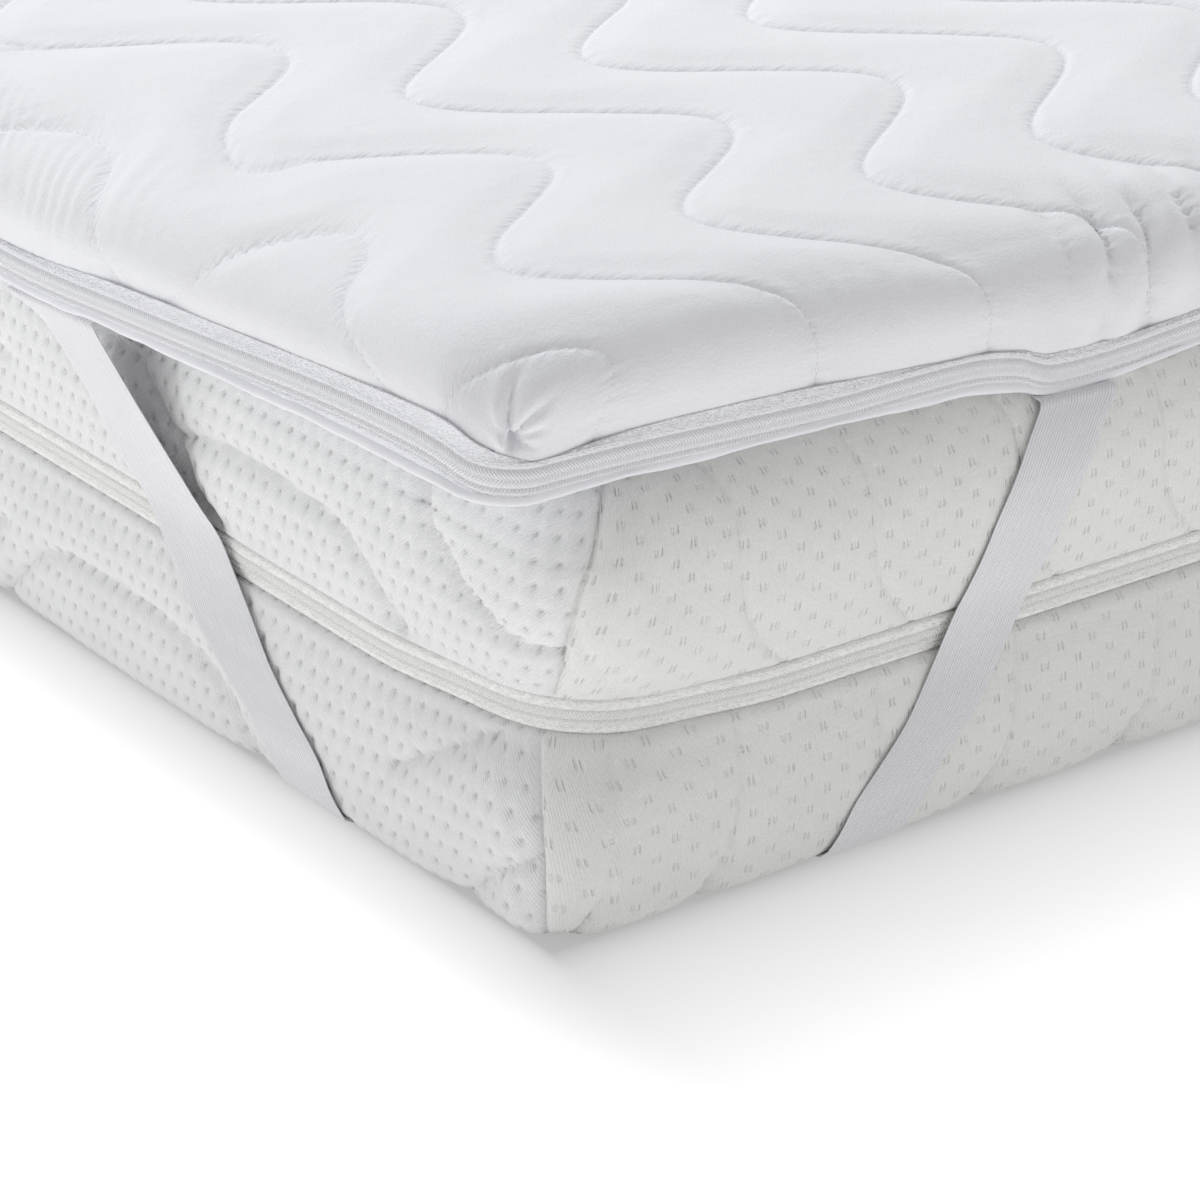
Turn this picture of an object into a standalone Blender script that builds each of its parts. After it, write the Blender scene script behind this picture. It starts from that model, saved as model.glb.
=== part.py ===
"""Quilted mattress topper with corner straps, fitted over a plain mattress.

Frame: origin at the centre of the mattress's underside, +X across the bed, +Y along it, +Z up, metres.
The topper lies a little to the left (-X) on the mattress, so its left rim overhangs.
"""
import math

import bmesh
import bpy
from mathutils import Matrix, Vector

# Mattress
MATTRESS_WIDTH = 0.90
MATTRESS_LENGTH = 2.00
MATTRESS_HEIGHT = 0.190
MATTRESS_PUFF = 0.061           # pitch of the quilted puffs on the two ends
MATTRESS_FIRST_NOTCH = 0.0235   # a sewn notch on an end, from the mattress's left face
MATTRESS_LONG_PUFF = 0.192      # pitch of the shallower puffs on the long sides
MATTRESS_LONG_FIRST = 0.150     # a sewn notch on a long side, from the front face
LONG_PUFF_SHARE = 0.45          # depth of the long sides' puffs, as a share of the end puffs' depth

# Mattress side, underside to top: height, outward offset of a puff's crown and of a sewn notch
# (from the nominal face), corner radius in plan
MATTRESS_ROWS = [
    # height, crown, notch, radius
    (0.000, -0.008, -0.016, 0.024),
    (0.008, 0.005, -0.005, 0.020),
    (0.030, 0.010, -0.001, 0.026),
    (0.062, 0.005, 0.000, 0.042),
    (0.079, -0.009, -0.009, 0.060),
    (0.095, -0.009, -0.009, 0.060),
    (0.110, 0.004, 0.000, 0.046),
    (0.142, 0.006, 0.001, 0.034),
    (0.165, 0.001, -0.003, 0.036),
    (0.182, -0.016, -0.017, 0.048),
    (MATTRESS_HEIGHT, -0.040, -0.040, 0.060),
]

# Topper
TOPPER_WIDTH = 0.927
TOPPER_LENGTH = 2.000
OVERHANG_LEFT = 0.033           # the topper's left edge stands this far past the mattress
INSET_FRONT = 0.006             # its front edge stays this far behind the mattress's front face
TOPPER_TOP = 0.252              # height of the quilted crowns
RIM_AT_CORNER = 0.192           # height of the rim's lower edge at the corners
RIM_DROP = 0.011                # the straps pull the rim down by this much along the sides
DROP_REACH = 0.33               # distance from a corner at which the pull is full
EDGE_SAG_LONG = 0.013           # sag of the top edge with the rim, on the long sides
EDGE_SAG_END = 0.006
SAG_REACH = 0.20                # how far in from the edge the sag fades

# Quilting: sewn lines run along Y in even waves
LINE_SPACING = 0.0985
FIRST_LINE = 0.086              # first whole line, from the mattress's left face
WAVE_LENGTH = 0.192
WAVE_SWING = 0.047
WAVE_START = 0.2867             # a leftmost point of the wave, from the mattress's front face
CHANNEL_DEPTH = 0.0055
CHANNEL_HALF_WIDTH = 0.026
WAVE_FADE = 0.13                # the grid's columns leave the wave over this width at the long edges
SIDE_CHANNEL_SHARE = 0.8        # a channel's depth on the round of the edge, as a share of its depth on top
CRUMPLE = 0.0012                # the stuffing's unevenness
CRUMPLE_WAVES = [
    # turns a metre across, turns a metre along, phase
    (3.66, 1.43, 0.0),
    (-1.75, 2.71, 0.21),
]

# Cloth thicknesses and clearances
SHEET = 0.0015
GAP = 0.0003
RIM_HEIGHT = 0.0062             # the underside's upturned hem
RIM_DROOP = 0.0010              # the underside dips this far below the rim's level just inside it
FLAT_INSET = 0.033              # the topper's underside is flat inside this
FLAT_RADIUS = 0.045             # plan radius of that flat's corners
RIM_RADIUS = 0.022              # plan radius of the rim at the corners
PAD_CLEAR = 0.0015              # the pad over the underside, where the underside droops
TOP_INSET = 0.030               # the grid's boundary, where the top edge's round starts
TOP_RADIUS = 0.046              # plan radius of that boundary's corners, at the topper's edge
TOP_ROUND = 0.0022              # the boundary lies this much below the crowns
CORNER_STEP = 0.012             # spacing of the grid's outermost columns and rows
COLUMN_CLEAR = 0.019            # least room between those and the first sewn column
ROW_CLEAR = 0.036               # room between those and the first even row
CORNER_FANS = 4                 # steps round a quarter turn in plan

# Topper zip, section from the rim up: inset from the topper's edge, height over the rim's lower edge
TOPPER_ZIP = [
    # inset, height
    (0.0029, 0.0065),
    (0.0017, 0.0065),
    (0.0017, 0.0082),
    (-0.0012, 0.0100),
    (-0.0003, 0.0120),
    (-0.0012, 0.0140),
    (0.0017, 0.0158),
    (0.0017, 0.0235),
    (0.0029, 0.0235),
]

# Mattress zip, section: outward offset from the mattress's nominal face, height
MATTRESS_ZIP = [
    # offset, height
    (-0.0087, 0.0798),
    (-0.0072, 0.0798),
    (-0.0072, 0.0835),
    (-0.0038, 0.0853),
    (-0.0048, 0.0871),
    (-0.0038, 0.0889),
    (-0.0072, 0.0907),
    (-0.0072, 0.0942),
    (-0.0087, 0.0942),
]
MATTRESS_ZIP_RADIUS = 0.060

# Straps: elastic tape from the rim, slantwise down one side, under the corner and up the other side
STRAP_CLEAR = 0.0024            # the tape's middle layer over the mattress's crowns
STRAP_TUCK = 0.0030             # the tape's top end lies this far in from the rim's outer edge
STRAP_UNDER = 0.00095           # height of the tape's middle layer under the mattress
RECESS_DEPTH = 0.0021           # the soft underside gives way to the tape by this much
RECESS_WIDTH = 0.044
RECESS_OVERRUN = 0.045          # the groove runs out past the mattress's edges by this much
# A strap's run on an end and on a long side, top to bottom: height, middle of the tape from the
# corner, half its width along the edge. The first height is nominal, as the tape reaches up to the rim;
# the last row lies under the mattress.
STRAP_ON_END = [
    # height, middle, half
    (0.1815, 0.2750, 0.0230),
    (0.1650, 0.2630, 0.0225),
    (0.1420, 0.2450, 0.0220),
    (0.1100, 0.2290, 0.0218),
    (0.0870, 0.2225, 0.0218),
    (0.0620, 0.2060, 0.0212),
    (0.0300, 0.1770, 0.0208),
    (0.0080, 0.1600, 0.0212),
    (STRAP_UNDER, 0.1520, 0.0215),
]
STRAP_ON_LONG = [
    # height, middle, half
    (0.1815, 0.3130, 0.0310),
    (0.1650, 0.2910, 0.0300),
    (0.1420, 0.2610, 0.0285),
    (0.1100, 0.2270, 0.0262),
    (0.0870, 0.2080, 0.0250),
    (0.0620, 0.1880, 0.0225),
    (0.0300, 0.1550, 0.0190),
    (0.0080, 0.1340, 0.0180),
    (STRAP_UNDER, 0.1260, 0.0190),
]
STRAP_TWIST = 0.0025            # the edge nearer the corner stands off, the other lies closer
TAUT_OVERHANG = 0.020           # a rim that overhangs more than this holds the tape clear of the mattress

COLOURS = {
    # finish: base colour, roughness
    "topper_cloth": ((0.86, 0.86, 0.89), 0.85),
    "zip_white": ((0.84, 0.84, 0.88), 0.55),
    "elastic": ((0.76, 0.76, 0.80), 0.80),
    "mattress_knit": ((0.84, 0.84, 0.81), 0.90),
    "zip_cream": ((0.80, 0.80, 0.76), 0.55),
}


def material(finish):
    """The Principled material of one finish."""
    found = bpy.data.materials.get(finish)
    if found:
        return found
    colour, roughness = COLOURS[finish]
    made = bpy.data.materials.new(finish)
    made.use_nodes = True
    shader = made.node_tree.nodes["Principled BSDF"]
    shader.inputs["Base Color"].default_value = (*colour, 1.0)
    shader.inputs["Roughness"].default_value = roughness
    shader.inputs["Metallic"].default_value = 0.0
    return made


def finish_object(name, bm, finish, collection):
    """Make a smooth-shaded object of a bmesh, with its normals outwards."""
    bmesh.ops.recalc_face_normals(bm, faces=bm.faces)
    mesh = bpy.data.meshes.new(name)
    bm.to_mesh(mesh)
    bm.free()
    mesh.shade_smooth()
    mesh.materials.append(material(finish))
    made = bpy.data.objects.new(name, mesh)
    collection.objects.link(made)
    return made


def smooth(share):
    """Ease from 0 to 1."""
    share = min(max(share, 0.0), 1.0)
    return share * share * (3.0 - 2.0 * share)


def blend(rows, height, column):
    """Read one column of a table of rows by height, straight between rows."""
    for low, high in zip(rows, rows[1:]):
        if height <= high[0]:
            share = max(height - low[0], 0.0) / (high[0] - low[0])
            return low[column] + share * (high[column] - low[column])
    return rows[-1][column]


class Rectangle:
    """A rounded rectangle in plan, read by stations round its edge."""

    def __init__(self, centre_x, centre_y, width, length):
        self.centre = (centre_x, centre_y)
        self.half = (width / 2, length / 2)

    def point(self, station, inset, radius):
        """The plan point of a station, inset from the edge, with this corner radius."""
        kind, first, second, place = station
        if kind == "side":
            spot = [0.0, 0.0]
            spot[first] = self.centre[first] + second * (self.half[first] - inset)
            spot[1 - first] = place
            return spot
        arc = radius - inset
        return [self.centre[0] + first * (self.half[0] - radius + arc * math.cos(place)),
                self.centre[1] + second * (self.half[1] - radius + arc * math.sin(place))]

    def from_corner(self, spot):
        """How far along its side a plan point is from the nearer corner."""
        return max(self.half[0] - abs(spot[0] - self.centre[0]),
                   self.half[1] - abs(spot[1] - self.centre[1]))

    def places(self, axis, near, fine, reach, coarse):
        """Places along a side: fine steps from near to reach of each corner, coarse steps between."""
        half = self.half[axis]
        count = round((reach - near) / fine)
        ends = [half - near - (reach - near) * step / count for step in range(count + 1)]
        middle = ends[-1]
        between = round(2 * middle / coarse)
        inner = [middle - 2 * middle * step / between for step in range(1, between)]
        return [self.centre[axis] + place for place in ends + inner + [-place for place in ends[::-1]]]

    def stations(self, across, along):
        """Stations anticlockwise from the right side; across and along are falling lists of places.

        A station is ("side", axis of the normal, sign, place on the other axis) or
        ("corner", sign x, sign y, angle from the x axis within its quadrant).
        """
        def fan(sign_x, sign_y, rising):
            angles = [math.pi / 2 * step / CORNER_FANS for step in range(CORNER_FANS + 1)]
            return [("corner", sign_x, sign_y, angle) for angle in (angles if rising else angles[::-1])]

        right = [("side", 0, 1, place) for place in along[::-1]]
        back = [("side", 1, 1, place) for place in across]
        left = [("side", 0, -1, place) for place in along]
        front = [("side", 1, -1, place) for place in across[::-1]]
        return (right + fan(1, 1, True) + back + fan(-1, 1, False)
                + left + fan(-1, -1, True) + front + fan(1, -1, False))


MATTRESS = Rectangle(0.0, 0.0, MATTRESS_WIDTH, MATTRESS_LENGTH)
TOPPER = Rectangle(-MATTRESS_WIDTH / 2 - OVERHANG_LEFT + TOPPER_WIDTH / 2,
                   -MATTRESS_LENGTH / 2 + INSET_FRONT + TOPPER_LENGTH / 2, TOPPER_WIDTH, TOPPER_LENGTH)


def wrap(stations, section, place, welded):
    """Wrap a grid primitive round the stations.

    place(station, section point) gives a corner of the grid. A welded section is a closed loop, as a
    zip's is; an open one ends in two rims that are filled flat.
    """
    around = len(stations)
    across = len(section) if welded else len(section) - 1
    bm = bmesh.new()
    bmesh.ops.create_grid(bm, x_segments=around, y_segments=across, size=0.5)
    for vert in bm.verts:
        column = round((vert.co.x + 0.5) * around) % around
        row = round((vert.co.y + 0.5) * across) % len(section)
        vert.co = place(stations[column], section[row])
    bmesh.ops.remove_doubles(bm, verts=bm.verts, dist=0.000002)
    rims = [edge for edge in bm.edges if edge.is_boundary]
    if rims:
        bmesh.ops.holes_fill(bm, edges=rims, sides=0)
    return bm


def rim_drop(spot):
    """How far the rim is pulled down at a plan point of the topper's edge."""
    return RIM_DROP * smooth(TOPPER.from_corner(spot) / DROP_REACH)


def wave(y):
    """The sideways swing of the quilting lines at a place along the bed."""
    ahead = (MATTRESS_LENGTH / -2 + WAVE_START) - y
    return -WAVE_SWING * math.cos(2 * math.pi * ahead / WAVE_LENGTH)


def quilt_depth(x, y):
    """How deep the quilting draws the cloth in at a plan point."""
    first = -MATTRESS_WIDTH / 2 + FIRST_LINE
    phase = (x - wave(y) - first) / LINE_SPACING
    away = abs(phase - round(phase)) * LINE_SPACING
    return CHANNEL_DEPTH * (1.0 - smooth(away / CHANNEL_HALF_WIDTH))


def unevenness(x, y):
    """Soft unevenness of the stuffing."""
    turns = [across * x + along * y + phase for across, along, phase in CRUMPLE_WAVES]
    return CRUMPLE * sum(math.sin(2 * math.pi * turn) for turn in turns) / len(turns)


def edge_sag(x, y):
    """How far the top has sunk near an edge that the rim pulls down."""
    inner_x = TOPPER.half[0] - abs(x - TOPPER.centre[0])
    inner_y = TOPPER.half[1] - abs(y - TOPPER.centre[1])
    long_side = EDGE_SAG_LONG * smooth(inner_y / DROP_REACH) * (1.0 - smooth(inner_x / SAG_REACH))
    end = EDGE_SAG_END * smooth(inner_x / DROP_REACH) * (1.0 - smooth(inner_y / SAG_REACH))
    return long_side + end


def pad_columns():
    """Places of the pad's columns across the bed: one on each sewn line and two on each crown."""
    low = TOPPER.centre[0] - TOPPER.half[0] + TOP_INSET
    high = TOPPER.centre[0] + TOPPER.half[0] - TOP_INSET
    step = LINE_SPACING / 3
    first = -MATTRESS_WIDTH / 2 + FIRST_LINE
    count = math.ceil(TOPPER_WIDTH / step)
    lines = [first + step * number for number in range(-count, count + 1)]
    inner = [place for place in lines if low + COLUMN_CLEAR < place < high - COLUMN_CLEAR]
    return [low, low + CORNER_STEP, *inner, high - CORNER_STEP, high]


def pad_rows():
    """Places of the pad's rows along the bed, six to a wave."""
    low = TOPPER.centre[1] - TOPPER.half[1] + TOP_INSET
    high = TOPPER.centre[1] + TOPPER.half[1] - TOP_INSET
    inner_low, inner_high = low + ROW_CLEAR, high - ROW_CLEAR
    count = round((inner_high - inner_low) / (WAVE_LENGTH / 6))
    inner = [inner_low + (inner_high - inner_low) * step / count for step in range(count + 1)]
    return [low, low + CORNER_STEP, *inner, high - CORNER_STEP, high]


def pad_top_point(columns, rows, column, row):
    """Plan point of an inner vertex: the columns swing with the wave and straighten at the long edges."""
    x, y = columns[column], rows[row]
    nearest_edge = min(x - columns[0], columns[-1] - x)
    return x + wave(y) * smooth(nearest_edge / WAVE_FADE), y


def pad_station(columns, rows, column, row):
    """The station of a boundary vertex: the three at each corner fan round it."""
    last_column, last_row = len(columns) - 1, len(rows) - 1
    sign_x = 1 if column > last_column / 2 else -1
    sign_y = 1 if row > last_row / 2 else -1
    steps_x = min(column, last_column - column)
    steps_y = min(row, last_row - row)
    if steps_x + steps_y <= CORNER_FANS / 2:
        return ("corner", sign_x, sign_y, math.pi / 4 + (steps_x - steps_y) * math.pi / 2 / CORNER_FANS)
    x, y = pad_top_point(columns, rows, column, row)
    if steps_x == 0:
        return ("side", 0, sign_x, y)
    return ("side", 1, sign_y, x)


def pad_rings():
    """The pad's side, top to bottom: inset, corner radius, height for a drop of the rim and a sag."""
    under = RIM_AT_CORNER - RIM_DROOP + SHEET + PAD_CLEAR
    flat = MATTRESS_HEIGHT + 3 * GAP + SHEET
    return [
        # inset, radius, height at the corner, share of the rim's drop, share of the edge's sag
        (0.0120, TOP_RADIUS, TOPPER_TOP - 0.0095, 0.0, 1.1),
        (0.0000, 0.040, TOPPER_TOP - 0.0240, 0.3, 0.7),
        (0.0032, 0.026, RIM_AT_CORNER + 0.0240, 1.0, 0.0),
        (0.0032, 0.026, RIM_AT_CORNER + 0.0045, 1.0, 0.0),
        (0.0110, 0.032, under, 0.75, 0.0),
        (FLAT_INSET - 0.001, FLAT_RADIUS, flat, 0.0, 0.0),
    ]


def quilted_pad(collection):
    """The topper's filled body: a grid whose columns follow the sewn waves, with its sides extruded."""
    columns, rows = pad_columns(), pad_rows()
    across, along = len(columns) - 1, len(rows) - 1
    bm = bmesh.new()
    bmesh.ops.create_grid(bm, x_segments=across, y_segments=along, size=0.5)
    boundary = {}
    for vert in bm.verts:
        column = round((vert.co.x + 0.5) * across)
        row = round((vert.co.y + 0.5) * along)
        if vert.is_boundary:
            station = pad_station(columns, rows, column, row)
            boundary[vert] = station
            x, y = TOPPER.point(station, TOP_INSET, TOP_RADIUS)
        else:
            x, y = pad_top_point(columns, rows, column, row)
        edge_round = TOP_ROUND if vert.is_boundary else 0.0
        height = TOPPER_TOP - quilt_depth(x, y) - edge_sag(x, y) + unevenness(x, y) - edge_round
        vert.co = (x, y, height)
    ring = [edge for edge in bm.edges if edge.is_boundary]
    for inset, radius, height, drop_share, sag_share in pad_rings():
        made = bmesh.ops.extrude_edge_only(bm, edges=ring)["geom"]
        ring = [item for item in made if isinstance(item, bmesh.types.BMEdge) and item.is_boundary]
        new = [item for item in made if isinstance(item, bmesh.types.BMVert)]
        moved = {}
        for vert in new:
            above = next(edge.other_vert(vert) for edge in vert.link_edges
                         if edge.other_vert(vert) in boundary)
            station = boundary[above]
            x, y = TOPPER.point(station, inset, radius)
            channel = quilt_depth(x, y) if sag_share > 0 else 0.0
            edge = TOPPER.point(station, 0.0, RIM_RADIUS)
            pull = drop_share * rim_drop(edge) + sag_share * edge_sag(x, y)
            vert.co = (x, y, height - pull - SIDE_CHANNEL_SHARE * channel)
            moved[vert] = station
        boundary = moved
    bmesh.ops.holes_fill(bm, edges=ring, sides=0)
    return finish_object("topper_pad", bm, "topper_cloth", collection)


def topper_stations():
    """Stations of the topper's rim, close together where the straps pull it down."""
    across = TOPPER.places(0, near=0.060, fine=0.045, reach=DROP_REACH, coarse=0.14)
    along = TOPPER.places(1, near=0.060, fine=0.045, reach=DROP_REACH, coarse=0.20)
    return TOPPER.stations(across, along)


def topper_underside(collection):
    """The topper's plain underside: a thin panel whose edge droops over the mattress and turns up."""
    flat = MATTRESS_HEIGHT + GAP
    section = [
        # inset, corner radius, height at the corner, share of the rim's drop
        (FLAT_INSET, FLAT_RADIUS, flat, 0.0),
        (0.0100, 0.030, RIM_AT_CORNER - RIM_DROOP, 0.75),
        (0.0012, RIM_RADIUS, RIM_AT_CORNER, 1.0),
        (0.0000, RIM_RADIUS, RIM_AT_CORNER + 0.0016, 1.0),
        (0.0000, RIM_RADIUS, RIM_AT_CORNER + RIM_HEIGHT, 1.0),
        (SHEET, RIM_RADIUS + 0.001, RIM_AT_CORNER + RIM_HEIGHT, 1.0),
        (SHEET + 0.0006, RIM_RADIUS + 0.001, RIM_AT_CORNER + 0.0022, 1.0),
        (0.0105, 0.030, RIM_AT_CORNER - RIM_DROOP + SHEET, 0.75),
        (FLAT_INSET, FLAT_RADIUS, flat + SHEET, 0.0),
    ]

    def place(station, row):
        inset, radius, height, share = row
        x, y = TOPPER.point(station, inset, radius)
        return (x, y, height - share * rim_drop(TOPPER.point(station, 0.0, RIM_RADIUS)))

    bm = wrap(topper_stations(), section, place, welded=False)
    return finish_object("topper_underside", bm, "topper_cloth", collection)


def topper_zip(collection):
    """The zip that joins the pad to the underside: two tapes with the coil's double ridge between them."""
    def place(station, row):
        inset, height = row
        x, y = TOPPER.point(station, inset, RIM_RADIUS + 0.003)
        return (x, y, RIM_AT_CORNER + height - rim_drop(TOPPER.point(station, 0.0, RIM_RADIUS)))

    bm = wrap(topper_stations(), TOPPER_ZIP, place, welded=True)
    return finish_object("topper_zip", bm, "zip_white", collection)


def mattress_stations():
    """Stations of the mattress: three to a puff on the ends, four on the long sides."""
    across = MATTRESS.places(0, near=0.072, fine=MATTRESS_PUFF / 3, reach=0.2, coarse=MATTRESS_PUFF / 3)
    along = MATTRESS.places(1, near=0.080, fine=MATTRESS_LONG_PUFF / 4, reach=0.2,
                            coarse=MATTRESS_LONG_PUFF / 4)
    return MATTRESS.stations(across, along)


def puff(station):
    """0 on a sewn notch to 1 on a puff's crown, and the puffs' share of the full depth."""
    kind, axis, _, place = station
    if kind == "corner":
        return 0.5, LONG_PUFF_SHARE
    if axis == 1:
        along = (place + MATTRESS_WIDTH / 2 - MATTRESS_FIRST_NOTCH) / MATTRESS_PUFF
        return abs(math.sin(math.pi * along)), 1.0
    along = (place + MATTRESS_LENGTH / 2 - MATTRESS_LONG_FIRST) / MATTRESS_LONG_PUFF
    return abs(math.sin(math.pi * along)), LONG_PUFF_SHARE


def strap_recess(name, sign_x, sign_y, collection):
    """Cutter for the flat groove that a strap presses into the mattress under one corner."""
    on_end, on_long = STRAP_ON_END[-1][1], STRAP_ON_LONG[-1][1]
    middle = Vector((sign_x * (MATTRESS_WIDTH - on_end) / 2, sign_y * (MATTRESS_LENGTH - on_long) / 2, 0.0))
    turn = Matrix.Rotation(-sign_x * sign_y * math.atan2(on_long, on_end), 4, "Z")
    length = math.hypot(on_end, on_long) + 2 * RECESS_OVERRUN
    size = Matrix.Diagonal((length, RECESS_WIDTH, 2 * RECESS_DEPTH, 1.0))
    bm = bmesh.new()
    bmesh.ops.create_cube(bm, size=1.0)
    bmesh.ops.transform(bm, matrix=Matrix.Translation(middle) @ turn @ size, verts=bm.verts)
    made = finish_object(name, bm, "mattress_knit", collection)
    made.hide_render = True
    made.display_type = "WIRE"
    return made


def mattress(corners, collection, cutters):
    """The plain mattress: puffed, crowned sides drawn in at the zip, and grooves for the straps."""
    def place(station, row):
        height, crown, notch, radius = row
        share, depth = puff(station)
        middle = (crown + notch) / 2
        outward = middle + (crown - notch) * (share - 0.5) * depth
        x, y = MATTRESS.point(station, -outward, radius)
        return (x, y, height)

    bm = wrap(mattress_stations(), MATTRESS_ROWS, place, welded=False)
    made = finish_object("mattress", bm, "mattress_knit", collection)
    for corner, sign_x, sign_y in corners:
        cutter = strap_recess(f"recess_{corner}", sign_x, sign_y, cutters)
        cut = made.modifiers.new(cutter.name, "BOOLEAN")
        cut.operation = "DIFFERENCE"
        cut.solver = "EXACT"
        cut.object = cutter
    return made


def mattress_zip(collection):
    """The mattress cover's zip, lying in the drawn-in waist."""
    across = MATTRESS.places(0, near=0.080, fine=0.1, reach=0.2, coarse=0.25)
    along = MATTRESS.places(1, near=0.080, fine=0.1, reach=0.2, coarse=0.40)
    stations = MATTRESS.stations(across, along)

    def place(station, row):
        offset, height = row
        x, y = MATTRESS.point(station, -offset, MATTRESS_ZIP_RADIUS)
        return (x, y, height)

    bm = wrap(stations, MATTRESS_ZIP, place, welded=True)
    return finish_object("mattress_zip", bm, "zip_cream", collection)


def strap_outward(height, top, rim):
    """How far out from the mattress's nominal face a strap's middle layer runs, and its room to twist.

    It lies on the crowns, or runs taut from the rim to its foot where the rim overhangs.
    """
    foot_height = STRAP_ON_END[-3][0]
    foot = blend(MATTRESS_ROWS, foot_height, 1) + STRAP_CLEAR
    end = rim - STRAP_TUCK
    if height >= top:
        return end, STRAP_TWIST if rim > TAUT_OVERHANG else 0.0
    lying = blend(MATTRESS_ROWS, height, 1) + STRAP_CLEAR
    taut = foot + (end - foot) * max(height - foot_height, 0.0) / (top - foot_height)
    return max(lying, taut), min(STRAP_TWIST, max(taut - lying, 0.0))


def strap_side(axis, sign_x, sign_y):
    """Cross-sections of a strap's run on one side, top to bottom: pairs (far edge, near edge).

    axis is the axis of the side's normal. The near edge is the one nearer the mattress's corner.
    """
    signs = (sign_x, sign_y)
    other = 1 - axis
    rows = STRAP_ON_END if axis == 1 else STRAP_ON_LONG
    top = rows[0][0]
    rim = abs(TOPPER.centre[axis] + signs[axis] * TOPPER.half[axis]) - MATTRESS.half[axis]
    sections = []
    for height, middle, half in rows:
        outward, lift = (0.0, 0.0) if height == STRAP_UNDER else strap_outward(height, top, rim)
        pair = []
        for edge, tilt in ((half, -lift), (-half, lift)):
            spot = [0.0, 0.0, height]
            spot[axis] = signs[axis] * (MATTRESS.half[axis] + outward + tilt)
            spot[other] = signs[other] * (MATTRESS.half[other] - middle - edge)
            if height == top:
                spot[2] = RIM_AT_CORNER - rim_drop(spot) - GAP - SHEET / 3
            pair.append(spot)
        sections.append(pair)
    return sections


def strap(name, sign_x, sign_y, collection):
    """One corner's elastic strap: a strip wrapped from rim to rim, given its thickness by Solidify."""
    sections = strap_side(1, sign_x, sign_y) + strap_side(0, sign_x, sign_y)[::-1]
    steps = len(sections) - 1
    bm = bmesh.new()
    bmesh.ops.create_grid(bm, x_segments=steps, y_segments=1, size=0.5)
    for vert in bm.verts:
        step = round((vert.co.x + 0.5) * steps)
        edge = round(vert.co.y + 0.5)
        vert.co = sections[step][edge]
    made = finish_object(name, bm, "elastic", collection)
    thick = made.modifiers.new("thickness", "SOLIDIFY")
    thick.thickness = SHEET
    thick.offset = 0.0
    thick.use_even_offset = True
    return made


def main():
    for item in list(bpy.data.objects):
        bpy.data.objects.remove(item)
    parts = bpy.data.collections.new("mattress_topper")
    cutters = bpy.data.collections.new("cutters")
    bpy.context.scene.collection.children.link(parts)
    bpy.context.scene.collection.children.link(cutters)
    corners = [("front_left", -1, -1), ("back_left", -1, 1), ("front_right", 1, -1), ("back_right", 1, 1)]
    mattress(corners, parts, cutters)
    mattress_zip(parts)
    topper_underside(parts)
    topper_zip(parts)
    quilted_pad(parts)
    for corner, sign_x, sign_y in corners:
        strap(f"strap_{corner}", sign_x, sign_y, parts)


main()
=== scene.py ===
"""Looks of a quilted mattress topper strapped over a foam mattress.

Every length is in metres in the row's frame: X across the bed, Y along it, Z up, with the origin at the
centre of the mattress's underside. The near corner in the picture is the front left one (-X, -Y).
"""

import math

import bpy
import numpy as np
from mathutils import Matrix, Vector


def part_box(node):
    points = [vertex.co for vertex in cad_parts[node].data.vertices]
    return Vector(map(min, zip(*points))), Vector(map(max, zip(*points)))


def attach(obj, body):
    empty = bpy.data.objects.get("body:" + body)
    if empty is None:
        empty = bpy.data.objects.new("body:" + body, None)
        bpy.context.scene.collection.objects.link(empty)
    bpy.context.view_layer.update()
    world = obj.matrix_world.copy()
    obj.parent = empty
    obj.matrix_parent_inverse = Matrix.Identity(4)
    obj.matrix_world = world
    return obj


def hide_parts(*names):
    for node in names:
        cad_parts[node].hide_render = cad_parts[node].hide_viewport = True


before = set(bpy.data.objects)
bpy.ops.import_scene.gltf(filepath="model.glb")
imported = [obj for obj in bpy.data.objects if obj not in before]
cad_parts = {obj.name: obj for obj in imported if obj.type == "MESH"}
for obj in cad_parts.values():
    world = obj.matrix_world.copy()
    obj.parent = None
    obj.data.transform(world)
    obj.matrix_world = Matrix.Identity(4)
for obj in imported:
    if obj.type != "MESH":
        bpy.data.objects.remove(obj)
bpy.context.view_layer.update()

PAD_LOW, PAD_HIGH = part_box("topper_pad")

# Half of the mattress's width and length between its nominal faces, without the puffs
BED_HALF = np.array([0.45, 1.00])

# Topper
TOPPER_CENTRE = np.array([(PAD_LOW.x + PAD_HIGH.x) / 2, (PAD_LOW.y + PAD_HIGH.y) / 2])
TOPPER_HALF = np.array([(PAD_HIGH.x - PAD_LOW.x) / 2, (PAD_HIGH.y - PAD_LOW.y) / 2])
TOP = 0.2545                   # height of the quilted crowns
RIM = 0.192                    # height of the hem's lower edge at the corners
DROP_REACH = 0.33              # distance from a corner at which the straps' pull is full
PAD_FLOOR = 0.1926             # the pad's flat underside, on the panel
RIM_RADIUS = 0.025             # plan radius of the rim at the corners
TOP_RADIUS = 0.046             # plan radius of the top's rounded corners

# Quilting, sewn lines along Y in even waves
LINE_SPACING = 0.0985
FIRST_LINE = -BED_HALF[0] + 0.086
WAVE_LENGTH = 0.192
WAVE_SWING = 0.047
WAVE_START = -BED_HALF[1] + 0.2867
STITCH_PITCH = 0.0044
STITCH_HALF = 0.0015           # half of a stitch's length

QUARTER = math.pi / 2          # a quarter turn
MERGE_WITHIN = 0.000002        # points this close together are one

rng = np.random.default_rng(11)


# ---------------------------------------------------------------- small maths

def smooth(share):
    """Ease from 0 to 1."""
    share = np.clip(share, 0.0, 1.0)
    return share * share * (3.0 - 2.0 * share)


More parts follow.
